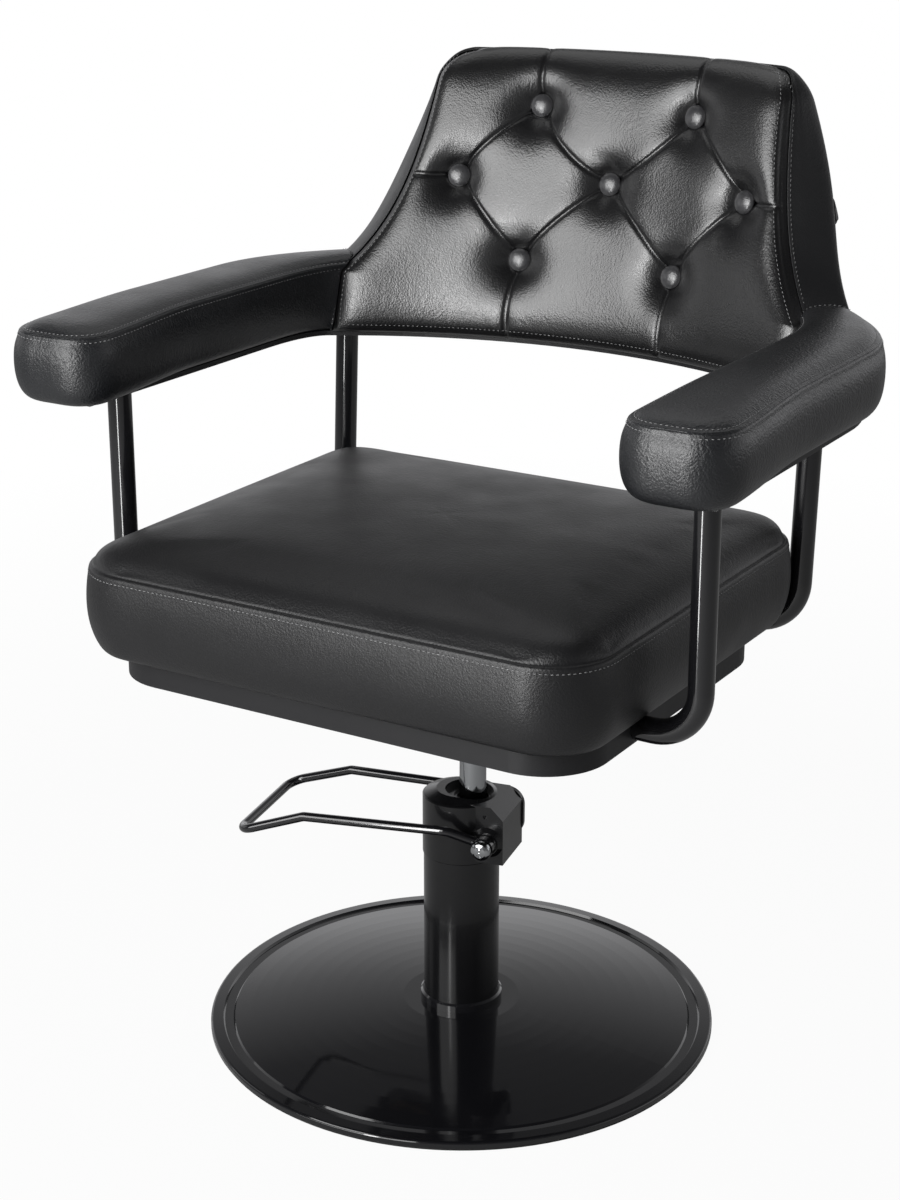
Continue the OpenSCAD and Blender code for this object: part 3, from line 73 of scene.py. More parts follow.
# %% [markdown]
# ## Light
# Black leather shows nothing but reflections, so the lamps are drawn as large soft
# boxes. The back leans and curves, so it mirrors what stands low in front of it: one
# large box there lights the tufts. Weak boxes at the left and above keep the outer folds
# readable, and a narrow strip in front draws the thin bright lines on tubes and pump.

# %% Hang the lamps
def soft_box(name, place, aim, width, height, glow):
    """A box whose face glows at a given level, where 1 is white."""
    light = bpy.data.lights.new(name, "AREA")
    light.shape, light.size, light.size_y = "RECTANGLE", width, height
    light.energy = glow * math.pi * width * height
    lamp = bpy.data.objects.new(name, light)
    lamp.location = place
    lamp.rotation_euler = (Vector(aim) - Vector(place)).to_track_quat("-Z", "Y").to_euler()
    lamp.visible_camera = False
    bpy.context.scene.collection.objects.link(lamp)

# Name, then in metres: place, aim, width and height; and the glow
soft_box("long_box_front", (-0.58, -2.38, 1.62), (0, 0.15, 0.85), 2.6, 1.8, 5.3)
soft_box("soft_box_left", (-2.7, -0.75, 1.00), (0, 0.1, 0.75), 0.9, 1.2, 0.7)
soft_box("soft_box_top", (-0.6, 0.9, 3.0), (0, 0, 0.4), 2.4, 1.6, 0.8)
soft_box("strip_front", (-0.10, -1.45, 0.60), (0, 0, 0.55), 0.14, 1.15, 18.0)

# %% [markdown]
# ## Room
# The photograph has no room: white paper stands behind the chair, and the ceiling and
# the studio behind the camera are dark. What the camera sees, mirrors and glass see too,
# dimmer towards the front. The light that the room itself sends is kept gentle.

# %% Helpers for node trees
def link(tree, a, b):
    tree.links.new(a, b)


def add_node(tree, kind, wires=(), **inputs):
    """Adds a node, sets its named sockets, and joins wires given as (output, socket)."""
    node = tree.nodes.new(kind)
    for key, value in inputs.items():
        node.inputs[key.replace("_", " ")].default_value = value
    for source, socket in wires:
        link(tree, source, node.inputs[socket])
    return node


def maths(tree, operation, a, b):
    """Result of a sum on an output a and on b, which is an output or a number."""
    node = add_node(tree, "ShaderNodeMath", [(a, 0)])
    node.operation = operation
    if isinstance(b, float):
        node.inputs[1].default_value = b
    else:
        link(tree, b, node.inputs[1])
    return node.outputs[0]


def ramp(tree, source, low, high, start=0.3, end=0.7):
    node = add_node(tree, "ShaderNodeMapRange", [(source, "Value")],
                    From_Min=start, From_Max=end, To_Min=low, To_Max=high)
    return node.outputs["Result"]


def sees_background(tree, mirrored=1.0):
    """1 for rays that should meet the background as it looks, 0 for its soft light."""
    ray = tree.nodes.new("ShaderNodeLightPath")
    last = ray.outputs["Is Camera Ray"]
    for kind in ("Is Glossy Ray", "Is Transmission Ray"):
        last = maths(tree, "MAXIMUM", last, maths(tree, "MULTIPLY", ray.outputs[kind], mirrored))
    return last


def mix_and_end(tree, share, first, second, end_kind):
    both = add_node(tree, "ShaderNodeMixShader", [(share, 0), (first, 1), (second, 2)])
    add_node(tree, end_kind, [(both.outputs[0], "Surface")])


def empty_tree(owner):
    owner.use_nodes = True
    owner.node_tree.nodes.clear()
    return owner.node_tree

# %% Paint the world
def backdrop(tree, strength, stops):
    """Background shader whose grey follows the height of the ray, and the ray's Y."""
    place = tree.nodes.new("ShaderNodeTexCoord")
    split = add_node(tree, "ShaderNodeSeparateXYZ", [(place.outputs["Generated"], 0)])
    sky = add_node(tree, "ShaderNodeValToRGB", [(split.outputs["Z"], 0)])
    while len(sky.color_ramp.elements) < len(stops):
        sky.color_ramp.elements.new(0.5)
    for element, (height, grey) in zip(sky.color_ramp.elements, stops):
        element.position, element.color = height, (grey, grey, grey * 1.02, 1)
    shader = add_node(tree, "ShaderNodeBackground", [(sky.outputs["Color"], "Color")],
                      Strength=strength)
    return shader, split.outputs["Y"]

SOFT_LIGHT, SOFT_STOPS = 0.5, [(0.0, 0.9), (0.5, 0.3), (1.0, 0.2)]
SEEN_STOPS = [(0.0, 1.0), (0.26, 1.0), (0.42, 0.5), (0.6, 0.14), (1.0, 0.05)]
STUDIO_SIDE, PAPER_SIDE, STUDIO_GLOW = -0.25, 0.35, 0.22
world = bpy.data.worlds.new("white_room")
bpy.context.scene.world = world
tree = empty_tree(world)
gentle, ahead = backdrop(tree, SOFT_LIGHT, SOFT_STOPS)
shown, ahead = backdrop(tree, 1.0, SEEN_STOPS)
paper = ramp(tree, ahead, STUDIO_GLOW, 1.0, STUDIO_SIDE, PAPER_SIDE)
ray = tree.nodes.new("ShaderNodeLightPath")
link(tree, maths(tree, "MAXIMUM", paper, ray.outputs["Is Camera Ray"]), shown.inputs["Strength"])
mix_and_end(tree, sees_background(tree), gentle.outputs[0], shown.outputs[0],
            "ShaderNodeOutputWorld")
print("world painted:", len(tree.nodes), "nodes")

# %% Lay the floor
FLOOR_HALF, FLOOR_GREY = 14, 0.42
FLOOR_SHOW, FLOOR_NEAR, FLOOR_FAR, FLOOR_MIRRORED = 0.955, 0.8, 2.2, 0.12
corners = ((-1, -1), (1, -1), (1, 1), (-1, 1))
floor_mesh = bpy.data.meshes.new("studio_floor")
floor_mesh.from_pydata([(x * FLOOR_HALF, y * FLOOR_HALF, 0) for x, y in corners],
                       [], [(0, 1, 2, 3)])
floor = bpy.data.objects.new("studio_floor", floor_mesh)
bpy.context.scene.collection.objects.link(floor)
floor_paint = bpy.data.materials.new("white_floor")
tree = empty_tree(floor_paint)
where = tree.nodes.new("ShaderNodeTexCoord")
away = add_node(tree, "ShaderNodeVectorMath", [(where.outputs["Object"], 0)])
away.operation = "LENGTH"
fade = ramp(tree, away.outputs["Value"], FLOOR_SHOW, 1.0, FLOOR_NEAR, FLOOR_FAR)
share = maths(tree, "MULTIPLY", sees_background(tree, FLOOR_MIRRORED), fade)
matt = add_node(tree, "ShaderNodeBsdfDiffuse", Color=(FLOOR_GREY, FLOOR_GREY, FLOOR_GREY, 1))
glow = add_node(tree, "ShaderNodeEmission", Color=(1, 1, 1, 1))
mix_and_end(tree, share, matt.outputs[0], glow.outputs[0], "ShaderNodeOutputMaterial")
floor.data.materials.append(floor_paint)
print("floor laid")

# %% [markdown]
# ## Finishes
# A lacquered tube, a satin pump and a leather pad are all black here. What tells them
# apart is roughness and relief, so each finish is a small recipe of noise and bump.

# %% A helper that starts a finish
COAT_ROUGHNESS = 0.06


def new_finish(name, colour, roughness, metallic=0.0, specular=0.5, coat=0.0):
    paint = bpy.data.materials.new(name)
    paint.use_nodes = True
    shader = paint.node_tree.nodes["Principled BSDF"]
    for label, value in {"Base Color": (*colour, 1), "Roughness": roughness, "Metallic": metallic,
                         "Specular IOR Level": specular, "Coat Weight": coat,
                         "Coat Roughness": COAT_ROUGHNESS}.items():
        shader.inputs[label].default_value = value
    return paint, paint.node_tree, shader


def noise(tree, scale, detail=3.0, stretch=None, distortion=0.0):
    where = tree.nodes.new("ShaderNodeTexCoord")
    source = where.outputs["Object"]
    if stretch:
        mapped = add_node(tree, "ShaderNodeMapping", [(source, "Vector")], Scale=stretch)
        source = mapped.outputs["Vector"]
    node = add_node(tree, "ShaderNodeTexNoise", [(source, "Vector")],
                    Scale=scale, Detail=detail, Distortion=distortion)
    return node.outputs["Fac"]


def vary_tone(tree, shader, colour, darker, lighter, source):
    """Lets the colour wander between a darker and a lighter share of itself."""
    tone = tree.nodes.new("ShaderNodeMix")
    tone.data_type = "RGBA"
    tone.inputs["A"].default_value = (*[c * darker for c in colour], 1)
    tone.inputs["B"].default_value = (*[min(1, c * lighter) for c in colour], 1)
    link(tree, source, tone.inputs["Factor"])
    link(tree, tone.outputs["Result"], shader.inputs["Base Color"])


def bump(tree, shader, height, strength, distance, under=None):
    node = add_node(tree, "ShaderNodeBump", [(height, "Height")],
                    Strength=strength, Distance=distance)
    if under:
        link(tree, under, node.inputs["Normal"])
    link(tree, node.outputs["Normal"], shader.inputs["Normal"])
    return node.outputs["Normal"]

# %% [markdown]
# ### Leather
# Grained leather has two scales: fine pebbles a couple of millimetres across, and
# longer creases where the hide was stretched. Voronoi cells give the pebbles, a
# distorted noise the creases, and a slow noise changes the gloss from place to place.

# %% Mix the leather
WARP_SCALE, WARP_BY, GRAIN_DEEP, CREASE_SCALE, CREASE_DEEP = 95.0, 0.004, 0.0006, 130.0, 0.0012


def leather(name, grain_scale, grain, wrinkle, rough, tint=(0.0072, 0.0072, 0.0078), specular=0.5):
    """grain and wrinkle are the strengths of the two reliefs; rough is a range."""
    paint, tree, shader = new_finish(name, tint, 0.4, specular=specular)
    where = tree.nodes.new("ShaderNodeTexCoord").outputs["Object"]
    warp = add_node(tree, "ShaderNodeTexNoise", [(where, "Vector")], Scale=WARP_SCALE, Detail=2.0)
    shift = add_node(tree, "ShaderNodeVectorMath", [(warp.outputs["Color"], 0), (where, 2)])
    shift.operation = "MULTIPLY_ADD"
    shift.inputs[1].default_value = (WARP_BY, WARP_BY, WARP_BY)
    pebbles = tree.nodes.new("ShaderNodeTexVoronoi")
    pebbles.feature = "SMOOTH_F1"
    pebbles.inputs["Scale"].default_value = grain_scale
    pebbles.inputs["Smoothness"].default_value = 0.35
    link(tree, shift.outputs[0], pebbles.inputs["Vector"])
    domes = ramp(tree, pebbles.outputs["Distance"], 1.0, 0.0, 0.15, 0.75)
    creases = noise(tree, CREASE_SCALE, 5.0, (1.0, 1.0, 0.6), 1.4)
    first = bump(tree, shader, domes, grain, GRAIN_DEEP)
    bump(tree, shader, creases, wrinkle, CREASE_DEEP, first)
    link(tree, ramp(tree, noise(tree, 14.0, 4.0), *rough), shader.inputs["Roughness"])
    vary_tone(tree, shader, tint, 0.8, 1.35, noise(tree, 6.0, 3.0))
    return paint

seat_leather = leather("seat_leather", 520.0, 0.20, 0.18, (0.37, 0.48), specular=0.42)
tuft_leather = leather("tuft_leather", 560.0, 0.16, 0.15, (0.26, 0.32), (0.005, 0.005, 0.0054), 0.9)
arm_leather = leather("arm_leather", 480.0, 0.30, 0.42, (0.33, 0.42),
                      (0.0066, 0.0072, 0.0086), 0.66)
shell_leather = leather("shell_leather", 520.0, 0.20, 0.18, (0.40, 0.50), (0.0080, 0.0082, 0.0090))
# The buttons are covered in the same leather as the tufts. Their much lighter tint is a painted
# highlight that brightens them.
button_leather = leather("button_leather", 700.0, 0.12, 0.08, (0.26, 0.32),
                         (0.03, 0.03, 0.032), 1.0)
print("leathers mixed: 5")

# %% [markdown]
# ### Lacquer, metal, rubber and wood
# Lacquer is smooth with a clear coat over it and a trace of orange peel. Turned metal
# gets fine rings by stretching its noise, and plywood gets long fibres the same way.

# %% Mix the hard finishes
def lacquer(name, colour, roughness, peel, coat, specular=0.5):
    paint, tree, shader = new_finish(name, colour, roughness, specular=specular, coat=coat)
    bump(tree, shader, noise(tree, 160.0, 2.0), peel, 0.0004)
    gloss = ramp(tree, noise(tree, 9.0, 4.0), roughness * 0.85, roughness * 1.2)
    link(tree, gloss, shader.inputs["Roughness"])
    return paint


def metal(name, colour, roughness, stretch, relief):
    paint, tree, shader = new_finish(name, colour, roughness, metallic=1.0)
    grain_noise = noise(tree, 60.0, 4.0, stretch)
    bump(tree, shader, grain_noise, relief, 0.0002)
    gloss = ramp(tree, grain_noise, roughness * 0.8, roughness * 1.25)
    link(tree, gloss, shader.inputs["Roughness"])
    return paint


def matt_finish(name, colour, roughness, scale, relief, stretch=None, spread=0.35):
    paint, tree, shader = new_finish(name, colour, roughness, specular=0.35)
    grain_noise = noise(tree, scale, 5.0, stretch)
    bump(tree, shader, grain_noise, relief, 0.0005)
    vary_tone(tree, shader, colour, 1 - spread, 1 + spread, ramp(tree, grain_noise, 0.0, 1.0))
    return paint

finish_of_slot = {
    "gloss_black_paint": lacquer("gloss_black_lacquer", (0.006, 0.006, 0.007),
                                 0.12, 0.05, 0.6, 0.5),
    "satin_black_paint": lacquer("satin_black_lacquer", (0.004, 0.004, 0.0045),
                                 0.22, 0.08, 0.2, 0.35),
    "grey_black_paint": lacquer("satin_grey_lacquer", (0.012, 0.012, 0.013), 0.42, 0.12, 0.0, 0.3),
    "rubber": matt_finish("foot_rubber", (0.02, 0.02, 0.02), 0.75, 300.0, 0.3),
    "cast_iron": matt_finish("ballast_iron", (0.09, 0.09, 0.095), 0.7, 120.0, 0.6),
    "plain_steel": metal("plain_steel", (0.50, 0.51, 0.52), 0.32, (1, 1, 12), 0.15),
    "brass": metal("bush_brass", (0.62, 0.42, 0.16), 0.30, (1, 1, 12), 0.15),
    "chrome": metal("polished_chrome", (0.38, 0.39, 0.40), 0.11, (1, 1, 14), 0.05),
    "plywood": matt_finish("plywood", (0.50, 0.34, 0.19), 0.65, 30.0, 0.25, (1, 9, 9)),
    "black_leather": seat_leather,
}
base_mirror = lacquer("base_mirror_lacquer", (0.005, 0.005, 0.006), 0.085, 0.03, 0.6, 0.3)
slots = {s["node"]: s["material_slot"] for s in frame["record"]["subparts"]}
for node_name, piece in frame["nodes"].items():
    piece.data.materials.clear()
    piece.data.materials.append(finish_of_slot[slots[node_name]])
frame["nodes"]["base_plate"].data.materials[0] = base_mirror
print("finishes:", len(bpy.data.materials))

# %% [markdown]
# ## Building soft pieces
# Every cushion here is a net of rows and columns: rows run along the seams, so a seam
# is a line of the net and stays crisp. The helpers below turn nets into meshes.

# %% Helpers for nets
PUMP_TURN, ROD_OFF = math.radians(11), 12
ROD = np.array([ROD_OFF * math.cos(PUMP_TURN), ROD_OFF * math.sin(PUMP_TURN), 0.0])


def closed_object(name, points, faces, merge):
    """An object from points in metres, with doubles merged and faces turned outwards."""
    mesh = bpy.data.meshes.new(name)
    mesh.from_pydata(points, [], faces)
    sheet = bmesh.new()
    sheet.from_mesh(mesh)
    bmesh.ops.remove_doubles(sheet, verts=sheet.verts, dist=merge)
    bmesh.ops.recalc_face_normals(sheet, faces=sheet.faces)
    sheet.to_mesh(mesh)
    sheet.free()
    return bpy.data.objects.new(name, mesh)


def piece_from(name, points, faces, finish, subdivide=0):
    """A smooth piece of the seat, from points in the seat's millimetres."""
    piece = closed_object(name, [tuple((np.asarray(p) + ROD) * MM) for p in points], faces, 1e-6)
    piece.data.materials.append(finish)
    bpy.context.scene.collection.objects.link(piece)
    piece.data.polygons.foreach_set("use_smooth", [True] * len(piece.data.polygons))
    if subdivide:
        smooth_out(piece, subdivide)
    return piece


def smooth_out(piece, levels):
    modifier = piece.modifiers.new("smooth", "SUBSURF")
    modifier.levels = modifier.render_levels = levels
    settle(piece)


def settle(piece):
    """Turns the evaluated piece into its own plain mesh and drops the modifiers."""
    graph = bpy.context.evaluated_depsgraph_get()
    graph.update()
    mesh = bpy.data.meshes.new_from_object(piece.evaluated_get(graph), depsgraph=graph)
    old = piece.data
    piece.modifiers.clear()
    piece.data = mesh
    mesh.name = piece.name
    bpy.data.meshes.remove(old)


def stack_faces(rows, count, close=True):
    """Faces between rows that each have `count` points; a closed row joins its ends."""
    last = count if close else count - 1
    return [(r * count + i, r * count + (i + 1) % count,
             (r + 1) * count + (i + 1) % count, (r + 1) * count + i)
            for r in range(rows - 1) for i in range(last)]


def walls(first, second, from_rim, to_rim):
    """Faces that join two equal rims; each rim is a list of vertex numbers."""
    size = len(from_rim)
    return [(first + from_rim[i], first + from_rim[(i + 1) % size],
             second + to_rim[(i + 1) % size], second + to_rim[i]) for i in range(size)]


def end_fans(rows, count):
    """Closes both ends of a stack whose points are followed by a low and a high middle."""
    low, last = rows * count, (rows - 1) * count
    around = [(i, (i + 1) % count) for i in range(count)]
    return [(low, b, a) for a, b in around] + [(low + 1, last + a, last + b) for a, b in around]


def smooth_step(t):
    """Runs softly from 0 to 1 while t does."""
    t = np.clip(t, 0, 1)
    return t * t * (3 - 2 * t)


def rise_to(d, length):
    """Runs from 0 towards 1, fast at first; length says how soon."""
    return 1 - np.exp(-np.maximum(d, 0) / length)

# %% [markdown]
# ### Letting cloth swell
# Real padding is foam under a stitched skin: the skin is held at the seams and swells
# between them. Cloth simulation does the same when the seams are pinned and the skin
# gets a little pressure. The result is capped, so that it can't leave its place.

# %% A helper that inflates a piece
CLOTH = {"quality": 5, "mass": 0.4, "tension_stiffness": 30, "compression_stiffness": 30,
         "shear_stiffness": 12, "bending_stiffness": 4, "vertex_group_mass": "seams",
         "use_pressure": True}


def inflate(piece, held, pressure, cap, frames=20):
    """held gives for each vertex how firmly it is pinned, from 0 to 1; cap is in millimetres."""
    start = np.array([v.co[:] for v in piece.data.vertices])
    pins = piece.vertex_groups.new(name="seams")
    for index, firmness in enumerate(held):
        if firmness > 0.01:
            pins.add([index], float(min(1, firmness)), "REPLACE")
    cloth = piece.modifiers.new("swell", "CLOTH")
    for label, value in CLOTH.items():
        setattr(cloth.settings, label, value)
    cloth.settings.uniform_pressure_force = pressure
    cloth.settings.effector_weights.gravity = 0
    cloth.collision_settings.use_collision = False
    cloth.point_cache.frame_start, cloth.point_cache.frame_end = 1, frames
    for number in range(1, frames + 1):
        bpy.context.scene.frame_set(number)
    settle(piece)
    after = np.array([v.co[:] for v in piece.data.vertices])
    move = after - start
    length = np.linalg.norm(move, axis=1, keepdims=True)
    limit = cap * MM
    move = move * (limit * np.tanh(length / limit) / np.maximum(length, 1e-9))
    for vertex, place in zip(piece.data.vertices, start + move):
        vertex.co = place
    piece.vertex_groups.clear()
    bpy.context.scene.frame_set(1)
    most = float(np.linalg.norm(move, axis=1).max()) / MM
    print(piece.name, "swelled by up to", round(most, 1), "mm")

# %% [markdown]
# ## The seat cushion
# A box cushion: a top panel and a side band, sewn together along a seam that sinks a
# little. The side bulges below the seam and draws in over the pan. The top panel is
# made of shrinking copies of the seam line, which leaves no ridge on it.

# %% Shape the seat cushion
SEAT_W, SEAT_D, SEAT_FRONT, SEAT_CORNER = 542.0, 462.0, 286.0, 60.0
SEAT_LOW, SEAM_Z, SEAT_TOP = 442.6, 528.0, 562.0
seat_middle = np.array([0, SEAT_D / 2 - SEAT_FRONT, 0])


def rounded_outline(half_w, half_d, corner, step=8.0):
    """Points and outward directions round a rounded rectangle, counter-clockwise."""
    arcs = []
    for n, (sx, sy) in enumerate(((1, 1), (-1, 1), (-1, -1), (1, -1))):
        angles = np.radians(90 * n + np.linspace(0, 90, 13))
        out = np.column_stack([np.cos(angles), np.sin(angles)])
        arcs.append((corner * out + [sx * (half_w - corner), sy * (half_d - corner)], out))
    points, outs = [], []
    for n, (arc, out) in enumerate(arcs):
        ahead = arcs[(n + 1) % 4][0][0] - arc[-1]
        parts = int(round(np.linalg.norm(ahead) / step))
        points += [arc, arc[-1] + ahead * np.arange(1, parts)[:, None] / parts]
        outs += [out, np.repeat(out[-1:], parts - 1, 0)]
    return np.vstack(points), np.vstack(outs)

outline, outward = rounded_outline(SEAT_W / 2, SEAT_D / 2, SEAT_CORNER)
reach = (outline * outward).sum(1)
# How far each row of the side stands out from the seam, and its height
side_rows = [(-14, SEAT_LOW), (-9.5, 443.2), (-6.2, 445.5), (-3.0, 450), (0.2, 457), (2.9, 465),
             (4.9, 474), (5.9, 484), (6.0, 494), (5.5, 503), (4.6, 511), (3.4, 518), (2.6, 523),
             (2.2, 525.3), (0.6, 527.3)]
# The top's rows are copies of the seam line, each this share of its size
top_rows = [0.990, 0.984, 0.974, 0.960, 0.94, 0.915, 0.885, 0.85, 0.81, 0.765, 0.715, 0.66,
            0.60, 0.535, 0.465, 0.39, 0.31, 0.225, 0.135, 0.045]
SEAM_GAP, SEAM_SINK, CORNER_BLEND = 2.0, 1.3, 16


def crown(places, to_seam):
    """Height over the seam: it follows the seam close by and swells evenly further in."""
    side = SEAT_W / 2 - np.abs(places[:, 0])
    end = SEAT_D / 2 - np.abs(places[:, 1])
    inside = (np.maximum(side, 1) ** -2.0 + np.maximum(end, 1) ** -2.0) ** -0.5
    d = inside + (to_seam - inside) * np.exp(-to_seam / CORNER_BLEND)
    ridge, shoulder, middle = rise_to(d, 1.2), rise_to(d - 3, 9), rise_to(d - 3, 42)
    return 2.3 * ridge - 0.9 + 32.1 * (0.32 * shoulder + 0.68 * middle)


def at_height(places, z):
    return np.column_stack([places, np.full(len(places), z)])


def cushion_rows():
    rows = [at_height(outline + outward * out, z) for out, z in side_rows]
    rows.append(at_height(outline - outward * SEAM_GAP, SEAM_Z - SEAM_SINK))
    for s in top_rows:
        rows.append(np.column_stack([outline * s, SEAM_Z + crown(outline * s, (1 - s) * reach)]))
    return rows

rows = cushion_rows()
count = len(outline)
points = np.vstack(rows + [[0, 0, SEAT_LOW], [0, 0, SEAT_TOP]]) + seat_middle
faces = stack_faces(len(rows), count) + end_fans(len(rows), count)
seat = piece_from("seat_padding", points, faces, seat_leather)

# The underside and the seam are held firmly, and the rows beside the seam ever less
seam_row, SWELL, MOST_SWELL = len(side_rows), 1.6, 1.5
held = np.ones(len(seat.data.vertices))
for index in range(len(rows) * count):
    row = index // count
    if row not in (0, 1, 2, seam_row - 1, seam_row):
        held[index] = max(0, 0.6 - 0.15 * abs(row - seam_row))
inflate(seat, held, SWELL, MOST_SWELL)
smooth_out(seat, 1)
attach(seat, "seat")
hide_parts("seat_cushion")
print("seat padding:", len(seat.data.polygons), "faces")

# %% [markdown]
# ## The curve of the back
# Seen from above, the back is part of a circle, and the circle slides backwards with
# height, which is the lean. Arms and back share these few rules, so they meet.

# %% Rules of the back and the arms
BACK_R, LEAN, BACK_Y, MIDDLE_Z = 480.0, math.tan(math.radians(16.1)), 268.0, 827.0
BACK_LOW, BACK_TOP, BACK_T = 667.3, 950.0, 57.0
HALF_TOP, HALF_MOST, SPREAD, SPREAD_Z, SPREAD_FALL = 190, 260.0, 70, 730, 76.0
TAPER_RUN, THIN_BY, SIDE_SLANT, SLANT_LOSS = 140, 29, 40, 23


def back_centre(z):
    return BACK_Y + (z - MIDDLE_Z) * LEAN - BACK_R


def back_place(x, z, depth):
    """Point at x and height z, at a depth behind the back's front face."""
    y = back_centre(z) + np.sqrt((BACK_R + depth) ** 2 - np.square(x))
    return np.stack(np.broadcast_arrays(x, y, z), -1)


def back_half(z):
    return np.minimum(HALF_MOST, HALF_TOP + SPREAD * np.exp((SPREAD_Z - z) / SPREAD_FALL))


def corner_cut(z, corner=28.0):
    h = np.clip(z - BACK_TOP + corner, 0, corner)
    return corner - np.sqrt(corner ** 2 - h ** 2)


def taper(z):
    return np.clip((z - BACK_TOP + TAPER_RUN) / TAPER_RUN, 0, 1) ** 2


def side_slant(z, depth):
    """How far the side has moved out at a depth."""
    return (SIDE_SLANT - SLANT_LOSS * taper(z)) * depth / BACK_T


def back_edge(z, depth):
    return back_half(z) - corner_cut(z) + side_slant(z, depth)


def back_depth(z):
    return BACK_T - THIN_BY * taper(z)

ARM_X, ARM_HALF, ARM_FRONT, ARM_BEND, ARM_ROUND = 320.0, 44.0, -240.0, 70.0, 36.0
ARM_FLARE, ELBOW_Y, ELBOW_SPREAD, ARM_TO_BACK = 5, 138, 7, 0.6


def arm_y(run, front=ARM_FRONT):
    return np.where(run < 0, ARM_BEND + run * (ARM_BEND - front), ARM_BEND)


def front_cut(d, corner):
    """How much a round corner takes off the width, d behind the front."""
    return corner - np.sqrt(corner ** 2 - (corner - np.clip(d, 0, corner)) ** 2)


def arm_place(s, run, z, inset=0.0):
    """s runs across the arm from its inner side to its outer side. run is the place along
    it: -1 to 0 on the straight part, 0 to 1 round the bend. inset moves it in from the seam."""
    s, run, z = np.broadcast_arrays(*(np.asarray(value, float) for value in (s, run, z)))
    front, corner = ARM_FRONT + inset, ARM_ROUND - inset
    y = arm_y(run, front)
    flare = ARM_FLARE * smooth_step((-60 - y) / 144)
    x = ARM_X + (2 * s - 1) * (ARM_HALF - inset + flare - front_cut(y - front, corner))
    t = np.clip(run, 0, 1)
    share = 0.5 + (s - 0.5) * (1 - max(inset, 0) / ARM_HALF)
    depth = share * BACK_T
    edge = back_edge(z, depth)
    end_x, end_y = edge + ARM_TO_BACK, back_centre(z) + np.sqrt((BACK_R + depth) ** 2 - edge ** 2)
    elbow_y = ELBOW_Y + ELBOW_SPREAD * share
    px = x + (end_x - x) * t ** 2
    py = y * (1 - t) ** 2 + 2 * t * (1 - t) * elbow_y + end_y * t ** 2
    return np.stack([px, py, z], -1)

print("back is", round(2 * float(back_half(700.0))), "mm wide where it meets the arms")

# %% [markdown]
# ## The arms
# Each arm is a long box cushion that bends inwards to meet the side of the back. Its
# top panel is sewn to a side band, and the leather rolls up softly on both sides of that
# seam. The band is a stack of rings that follow the seam's outline, each moved in or
# out, so it swells below the seam and turns under at the bottom.

# %% Shape the arms
side_steps = np.array([0, 0.8, 2.0, 3.4, 4.8, 6.4, 9, 12.5, 17]) / (2 * ARM_HALF)
ACROSS = np.concatenate([side_steps, np.linspace(0.25, 0.75, 9), 1 - side_steps[::-1]])
front_steps = np.array([0, 0.6, 1.4, 2.4, 3.6, 5, 7, 9.5, 13, 17, 22, 28, 36])
ALONG = np.concatenate([front_steps / (ARM_BEND - ARM_FRONT) - 1, np.linspace(-0.85, -0.03, 26),
                        np.linspace(0, 1, 28)])
# How far each ring of the band stands out, and how far below the seam it lies
BAND = [(-1.3, 1.2), (-0.2, 1.0), (0.7, 1.7), (1.3, 3.0), (1.5, 4.5), (2.0, 6.3), (3.1, 9),
        (4.7, 13), (6.0, 18), (6.9, 25), (7.1, 33), (6.7, 41), (5.6, 48), (3.9, 54), (1.4, 59),
        (-1.6, 63), (-6, 66), (-12, 68)]
ARM_SEAM, ARM_DIP, ARM_DEEP, UNDER_INSET, PANEL_SINK = 736.8, 5.5, 69.0, 18.0, 1.2


def seam_z(run):
    return ARM_SEAM - ARM_DIP * smooth_step((-70 - arm_y(run)) / 160)


def seam_roll(d):
    """Height of a panel over its seam: a narrow roll at the seam, then the padding."""
    return 1.7 * (1 - np.exp(-d / 1.1)) + 8.2 * (1 - np.exp(-np.maximum(d - 4.0, 0) / 9.5))


def to_outline(s, run):
    """Distance from a place on the top panel to its seam."""
    d = arm_y(run) - ARM_FRONT
    off = np.abs(2 * s - 1) * (ARM_HALF - front_cut(d, ARM_ROUND))
    to_side = ARM_HALF - off
    to_corner = ARM_ROUND - np.hypot(np.maximum(ARM_ROUND - to_side, 0),
                                     ARM_ROUND - np.clip(d, 0, ARM_ROUND))
    return np.maximum(np.where(d < ARM_ROUND, np.minimum(to_corner, to_side), to_side), 0)


def grid_rim(columns, rows):
    """Vertex numbers round a grid: along the first row, up the last column, and back."""
    first = [i for i in range(columns)]
    right = [r * columns + columns - 1 for r in range(1, rows)]
    back = [(rows - 1) * columns + i for i in range(columns - 2, -1, -1)]
    left = [r * columns for r in range(rows - 2, 0, -1)]
    return first + right + back + left


def grid_faces(columns, rows, start=0, turned=False):
    quads = [(start + r * columns + i, start + r * columns + i + 1,
              start + (r + 1) * columns + i + 1, start + (r + 1) * columns + i)
             for r in range(rows - 1) for i in range(columns - 1)]
    return [q[::-1] for q in quads] if turned else quads


def wrapped_faces(columns, rows, rings, turned=False):
    """Faces of a grid, closed rings round it that follow its rim, and a grid behind them."""
    rim, count = grid_rim(columns, rows), columns * rows
    size = len(rim)
    behind = count + rings * size
    faces = grid_faces(columns, rows, 0, turned) + grid_faces(columns, rows, behind, not turned)
    faces += walls(0, count, rim, range(size)) + walls(behind - size, behind, range(size), rim)
    return faces + [tuple(count + v for v in f) for f in stack_faces(rings, size)]


